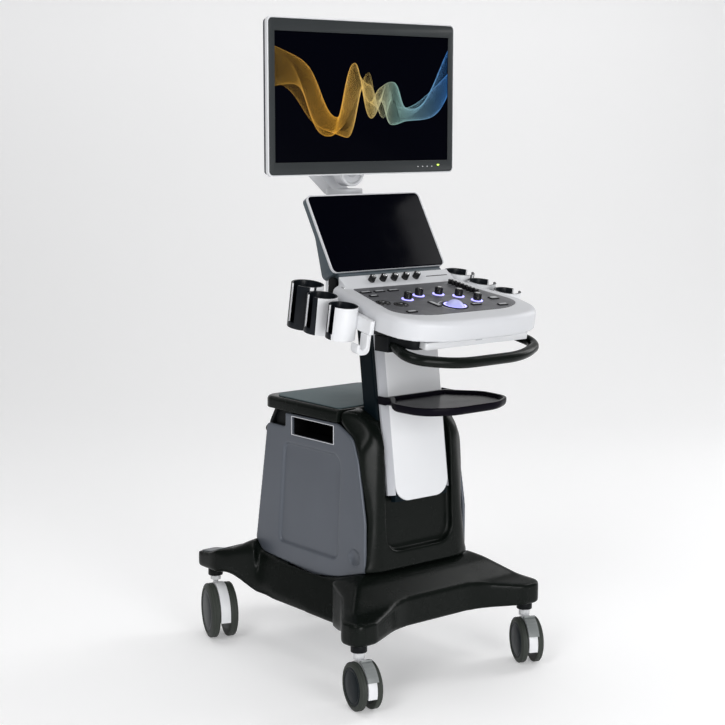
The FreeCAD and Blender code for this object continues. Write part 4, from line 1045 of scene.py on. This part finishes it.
# %% Arm
dress("arm_post", "light_grey", 2.0)
dress("arm_lower_link", "light_grey", 2.4)
dress("arm_upper_link", "light_grey", 2.0)
dress("tilt_head", "light_grey", 1.6)
SEAM_SECTION = [(40.9, -0.8), (41.9, -0.8), (41.9, 0.8), (40.9, 0.8)]
seam = lathe(SEAM_SECTION, Matrix.Translation((0, 0.093, 0.99)), 96)
add_piece("post_seam", seam, "trim_grey", "console", (), 40)
head_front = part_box("tilt_head")[0].y
HEAD_FACE = Matrix.Translation((0, head_front, 1.067)) @ Matrix.Rotation(math.pi / 2, 4, "X")
RIM_SECTION = [(24.5, -3), (32.3, -3), (32.3, 3.6, 1.6), (27, 4.6, 1.6), (24.5, 1.0, 0.8)]
rim = lathe(rounded(RIM_SECTION, steps=4), HEAD_FACE, 80)
add_piece("head_cover_rim", rim, "white_abs", "head", (), 50)
boss = lathe(rounded([(0, -1), (13, -1), (13, 1.6, 0.9), (0, 2.4)], steps=3), HEAD_FACE, 56)
add_piece("head_cover_boss", boss, "trim_light", "head", (), 50)
ARM_TOP = 1.124
elbow_place = Matrix.Translation((0, 0.225, ARM_TOP))
elbow_cap = lathe([(0, 3.2), (18, 2.6), (23, 1.0), (24, -1), (0, -1)], elbow_place, 64)
add_piece("elbow_cap", elbow_cap, "trim_light", "upper_arm", (), 40)
pivot_place = Matrix.Translation((0, 0.150, ARM_TOP))
head_cap = lathe([(0, 2.6), (14, 2.2), (18, 1.0), (19, -1), (0, -1)], pivot_place, 64)
add_piece("head_pivot_cap", head_cap, "trim_light", "upper_arm", (), 40)
print("arm dressed")

# %% [markdown]
# ## Monitor
#
# The display has a dark bezel inside a thin white rim. The picture on it is a plain
# abstract wave, drawn as fine glowing strands by a node tree, so it is geometry rather
# than an image and it travels with the monitor.

# %% Monitor housing
housing = blend_node("monitor_housing", "back_grey", 2.6, 3)
dress("monitor_rim", "white_abs", 1.2)
dress("monitor_bezel", "bezel_grey", 0.7)
dress("monitor_screen", "dark_glass", 0.3)
screen_low, screen_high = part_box("monitor_screen")
SCREEN = Matrix.Translation((0, screen_low.y, (screen_low.z + screen_high.z) / 2))
SCREEN = SCREEN @ Matrix.Rotation(math.pi / 2, 4, "X")
mark = slab(rectangle((-1.6, 1.6), (-0.9, 0.9), 0.7), 1.8, 2.5, raised(SCREEN, 150, -147.5, 0))
marks = in_grid(mark, "edge_light", 4, (13.5, 0, 0), 1, (0, 0, 0), SCREEN)
add_piece("bezel_marks", marks, "edge_light", "monitor", sharp=40)
light = slab(rectangle((-3.2, 3.2), (-1.4, 1.4), 1.2), 1.8, 2.7, raised(SCREEN, 209, -144.5, 0))
add_piece("power_lamp", light, "power_light", "monitor", sharp=40)
housing_tree = BVHTree.FromObject(housing, bpy.context.evaluated_depsgraph_get())
back_spot = housing_tree.ray_cast(Vector((0, 0.5, 1.235)), Vector((0, -1, 0)))[0]
BACK = Matrix.Translation(back_spot) @ Matrix.Rotation(math.pi, 4, "Z")
BACK = BACK @ Matrix.Rotation(math.pi / 2, 4, "X")
print("screen", round((screen_high.x - screen_low.x) / MM, 1), "mm wide")

# %% Wave strands
wave_tree, given, end = new_tree(
    "wave_strands",
    {"Strands": WHOLE, "Points": WHOLE, "Width": NUMBER, "Height": NUMBER, "Thickness": NUMBER},
)


def compute(operation, first, second=None):
    """A Math node; numbers are typed in and sockets are linked."""
    node = wave_tree.nodes.new("ShaderNodeMath")
    node.operation = operation
    for socket, value in zip(node.inputs, (first, second)):
        if value is None:
            continue
        if isinstance(value, (int, float)):
            socket.default_value = value
        else:
            wave_tree.links.new(value, socket)
    return node.outputs["Value"]


def trace_curve(node, points):
    """Lay a Float Curve node's line through points."""
    line = node.mapping.curves[0]
    line.points[0].location = points[0]
    line.points[1].location = points[-1]
    for point in points[1:-1]:
        line.points.new(*point)
    node.mapping.update()


strand_line = wave_tree.nodes.new("GeometryNodeMeshLine")
strand_line.inputs["Offset"].default_value = (0, 0, 0)
total = compute("MULTIPLY", given.outputs["Strands"], given.outputs["Points"])
wave_tree.links.new(total, strand_line.inputs["Count"])
number = wave_tree.nodes.new("GeometryNodeInputIndex").outputs["Index"]
strand = compute("FLOOR", compute("DIVIDE", number, given.outputs["Points"]))
step = compute("SUBTRACT", number, compute("MULTIPLY", strand, given.outputs["Points"]))
last_step = compute("SUBTRACT", given.outputs["Points"], 1)
along = compute("SUBTRACT", compute("DIVIDE", step, last_step), 0.5)
share = compute("DIVIDE", strand, given.outputs["Strands"])
spread = compute("SUBTRACT", share, 0.5)
across = compute("ADD", along, 0.5)


def rippled(by_strand, by_length):
    """A sine that drifts from strand to strand and along the wave."""
    phase = compute("ADD", compute("MULTIPLY", spread, by_strand), compute("MULTIPLY", across, by_length))
    return compute("SINE", phase)


fold = rippled(8.2, 5.0)
lag = rippled(5.1, -9.0)
crest = wave_tree.nodes.new("ShaderNodeFloatCurve")
CREST_LINE = [
    (0, 0.74), (0.10, 0.70), (0.35, 0.27), (0.485, 0.68),
    (0.56, 0.40), (0.63, 0.55), (0.70, 0.37), (1, 0.68),
]
GIRTH_LINE = [
    (0, 0.16), (0.33, 0.075), (0.46, 0.10), (0.56, 0.06),
    (0.66, 0.085), (0.76, 0.05), (1, 0.11),
]
trace_curve(crest, CREST_LINE)
wave_tree.links.new(compute("ADD", across, compute("MULTIPLY", lag, 0.045)), crest.inputs["Value"])
girth = wave_tree.nodes.new("ShaderNodeFloatCurve")
trace_curve(girth, GIRTH_LINE)
wave_tree.links.new(across, girth.inputs["Value"])
height = compute("ADD", crest.outputs["Value"], compute("MULTIPLY", girth.outputs["Value"], fold))
height = compute("SUBTRACT", height, 0.5)
place_x = compute("MULTIPLY", along, given.outputs["Width"])
place_y = compute("MULTIPLY", height, given.outputs["Height"])
point = wave_tree.nodes.new("ShaderNodeCombineXYZ")
wave_tree.links.new(place_x, point.inputs["X"])
wave_tree.links.new(place_y, point.inputs["Y"])
move = wave_tree.nodes.new("GeometryNodeSetPosition")
wave_tree.links.new(strand_line.outputs["Mesh"], move.inputs["Geometry"])
wave_tree.links.new(point.outputs["Vector"], move.inputs["Position"])
print("wave tree has", len(wave_tree.nodes), "nodes so far")

# %% Cut the strands apart and give them thickness
after = compute("MODULO", compute("ADD", number, 1), given.outputs["Points"])
last = compute("LESS_THAN", after, 0.5)
split = wave_tree.nodes.new("GeometryNodeDeleteGeometry")
split.domain = "EDGE"
split.mode = "EDGE_FACE"
wave_tree.links.new(move.outputs["Geometry"], split.inputs["Geometry"])
wave_tree.links.new(last, split.inputs["Selection"])
curves = wave_tree.nodes.new("GeometryNodeMeshToCurve")
thread = wave_tree.nodes.new("GeometryNodeCurveToMesh")
section = wave_tree.nodes.new("GeometryNodeCurvePrimitiveCircle")
section.inputs["Resolution"].default_value = 3
wave_tree.links.new(given.outputs["Thickness"], section.inputs["Radius"])
wave_tree.links.new(split.outputs["Geometry"], curves.inputs["Mesh"])
wave_tree.links.new(curves.outputs["Curve"], thread.inputs["Curve"])
wave_tree.links.new(section.outputs["Curve"], thread.inputs["Profile Curve"])
close_tree(wave_tree, thread.outputs["Mesh"], given, end)
wave_settings = {
    "Strands": 130,
    "Points": 150,
    "Width": 0.474,
    "Height": 0.262,
    "Thickness": 0.00007,
}
waves = grow(wave_tree, bpy.data.meshes.new("blank"), "wave_light", wave_settings)
waves.transform(raised(SCREEN, 0, 0, 0.3))
add_piece("screen_wave", waves, "wave_light", "monitor")
print("wave strands", len(waves.polygons), "faces")

# %% Monitor back: vents, sockets and arm plate
SEAT = -0.2
vent = slab(rectangle((-1.1, 1.1), (-9, 9), 1.0), 0, 1.0, raised(BACK, -120, 75, SEAT), bevel_mm=0.2)
vents = in_grid(vent, "knob_plastic", 41, (6, 0, 0), 1, (0, 0, 0), BACK)
add_piece("monitor_vents", vents, "knob_plastic", "monitor")
arm_plate = slab(rectangle((-52, 52), (-52, 52), 8), 0, 3.0, raised(BACK, 0, -30, SEAT), bevel_mm=0.8)
add_piece("monitor_arm_plate", arm_plate, "satin_black", "monitor")
head, cross = screw_head(raised(BACK, -37.5, 7.5, SEAT + 4.0), 3.6)
for name, seed, finish in (
    ("arm_plate_screws", head, "bright_metal"),
    ("arm_plate_screw_slots", cross, "knob_plastic"),
):
    copies = in_grid(seed, finish, 2, (75, 0, 0), 2, (0, -75, 0), BACK)
    add_piece(name, copies, finish, "monitor", sharp=40)
print("monitor back dressed")

# %% [markdown]
# ## Floor, light and camera
#
# A pale floor curves up into a pale backdrop. Large soft lights give long, even
# highlights on the glossy mouldings: one high on the operator's left, two in front, one
# on the right and one overhead. The camera stands to the front left, a little above the
# console.

# %% Floor and backdrop
FLOOR_FRONT, FLOOR_BACK, BEND, WALL_TOP = -12.0, 2.6, 1.6, 9.0
HALF_WIDTH = 14.0
CAMERA_TURN = math.radians(-39.08)
FLOOR_COLOR = (0.84, 0.84, 0.845)
floor_work = bmesh.new()
bends = [math.pi / 24 * step for step in range(1, 13)]
profile = [(FLOOR_FRONT, 0.0), (FLOOR_BACK, 0.0)]
profile += [(FLOOR_BACK + BEND * math.sin(a), BEND - BEND * math.cos(a)) for a in bends]
profile += [(FLOOR_BACK + BEND, WALL_TOP)]
rows = [[floor_work.verts.new((x, y, z)) for x in (-HALF_WIDTH, HALF_WIDTH)] for y, z in profile]
for near, far in zip(rows, rows[1:]):
    floor_work.faces.new((near[0], near[1], far[1], far[0]))
floor_mesh = bpy.data.meshes.new("floor")
floor_work.to_mesh(floor_mesh)
floor_work.free()
floor_mesh.transform(Matrix.Rotation(CAMERA_TURN, 4, "Z"))
floor_mesh.polygons.foreach_set("use_smooth", [True] * len(floor_mesh.polygons))
floor = bpy.data.objects.new("floor", floor_mesh)
bpy.context.scene.collection.objects.link(floor)
floor_paint = moulded("floor_paint", FLOOR_COLOR, 0.85, drift=0.0, grain=0.0)
floor_shader = floor_paint.node_tree.nodes["Principled BSDF"]
floor_shader.inputs["Emission Color"].default_value = (*FLOOR_COLOR, 1)
floor_shader.inputs["Emission Strength"].default_value = 0.28
floor_mesh.materials.append(floor_paint)
print("floor laid")

# %% Lights
def soft_light(name, place, aim, size, power):
    """A rectangular lamp that points at a spot."""
    data = bpy.data.lights.new(name, "AREA")
    data.shape = "RECTANGLE"
    data.size, data.size_y = size
    data.energy = power
    light = bpy.data.objects.new(name, data)
    light.location = place
    light.rotation_euler = (Vector(aim) - Vector(place)).to_track_quat("-Z", "Y").to_euler()
    bpy.context.scene.collection.objects.link(light)


soft_light("key_left", (-3.4, -1.6, 2.9), (0, 0, 0.7), (1.6, 2.4), 60)
soft_light("fill_front", (-0.5, -4.2, 1.5), (0, 0, 0.75), (1.5, 1.5), 50)
soft_light("low_front", (-1.0, -3.2, 0.45), (0, -0.1, 0.65), (1.2, 0.6), 26)
soft_light("edge_right", (3.2, -0.6, 2.2), (0, 0, 0.6), (1.0, 2.6), 38)
soft_light("overhead", (0, 0.6, 3.8), (0, 0, 0), (2.6, 2.6), 34)
world = bpy.data.worlds.new("studio")
world.use_nodes = True
background = world.node_tree.nodes["Background"]
background.inputs["Color"].default_value = (1, 1, 1, 1)
background.inputs["Strength"].default_value = 0.20
bpy.context.scene.world = world
bpy.context.scene.view_settings.view_transform = "Standard"
print("lights set")

# %% Camera
camera_data = bpy.data.cameras.new("camera")
camera_data.lens = 79.76
camera_data.sensor_width = 36.0
camera = bpy.data.objects.new("camera", camera_data)
camera.location = (-2.1971, -2.6760, 1.1692)
camera.rotation_euler = (math.radians(90 - 8.45), 0, CAMERA_TURN)
bpy.context.scene.collection.objects.link(camera)
bpy.context.scene.camera = camera
print("camera at", camera.location.to_tuple(3))
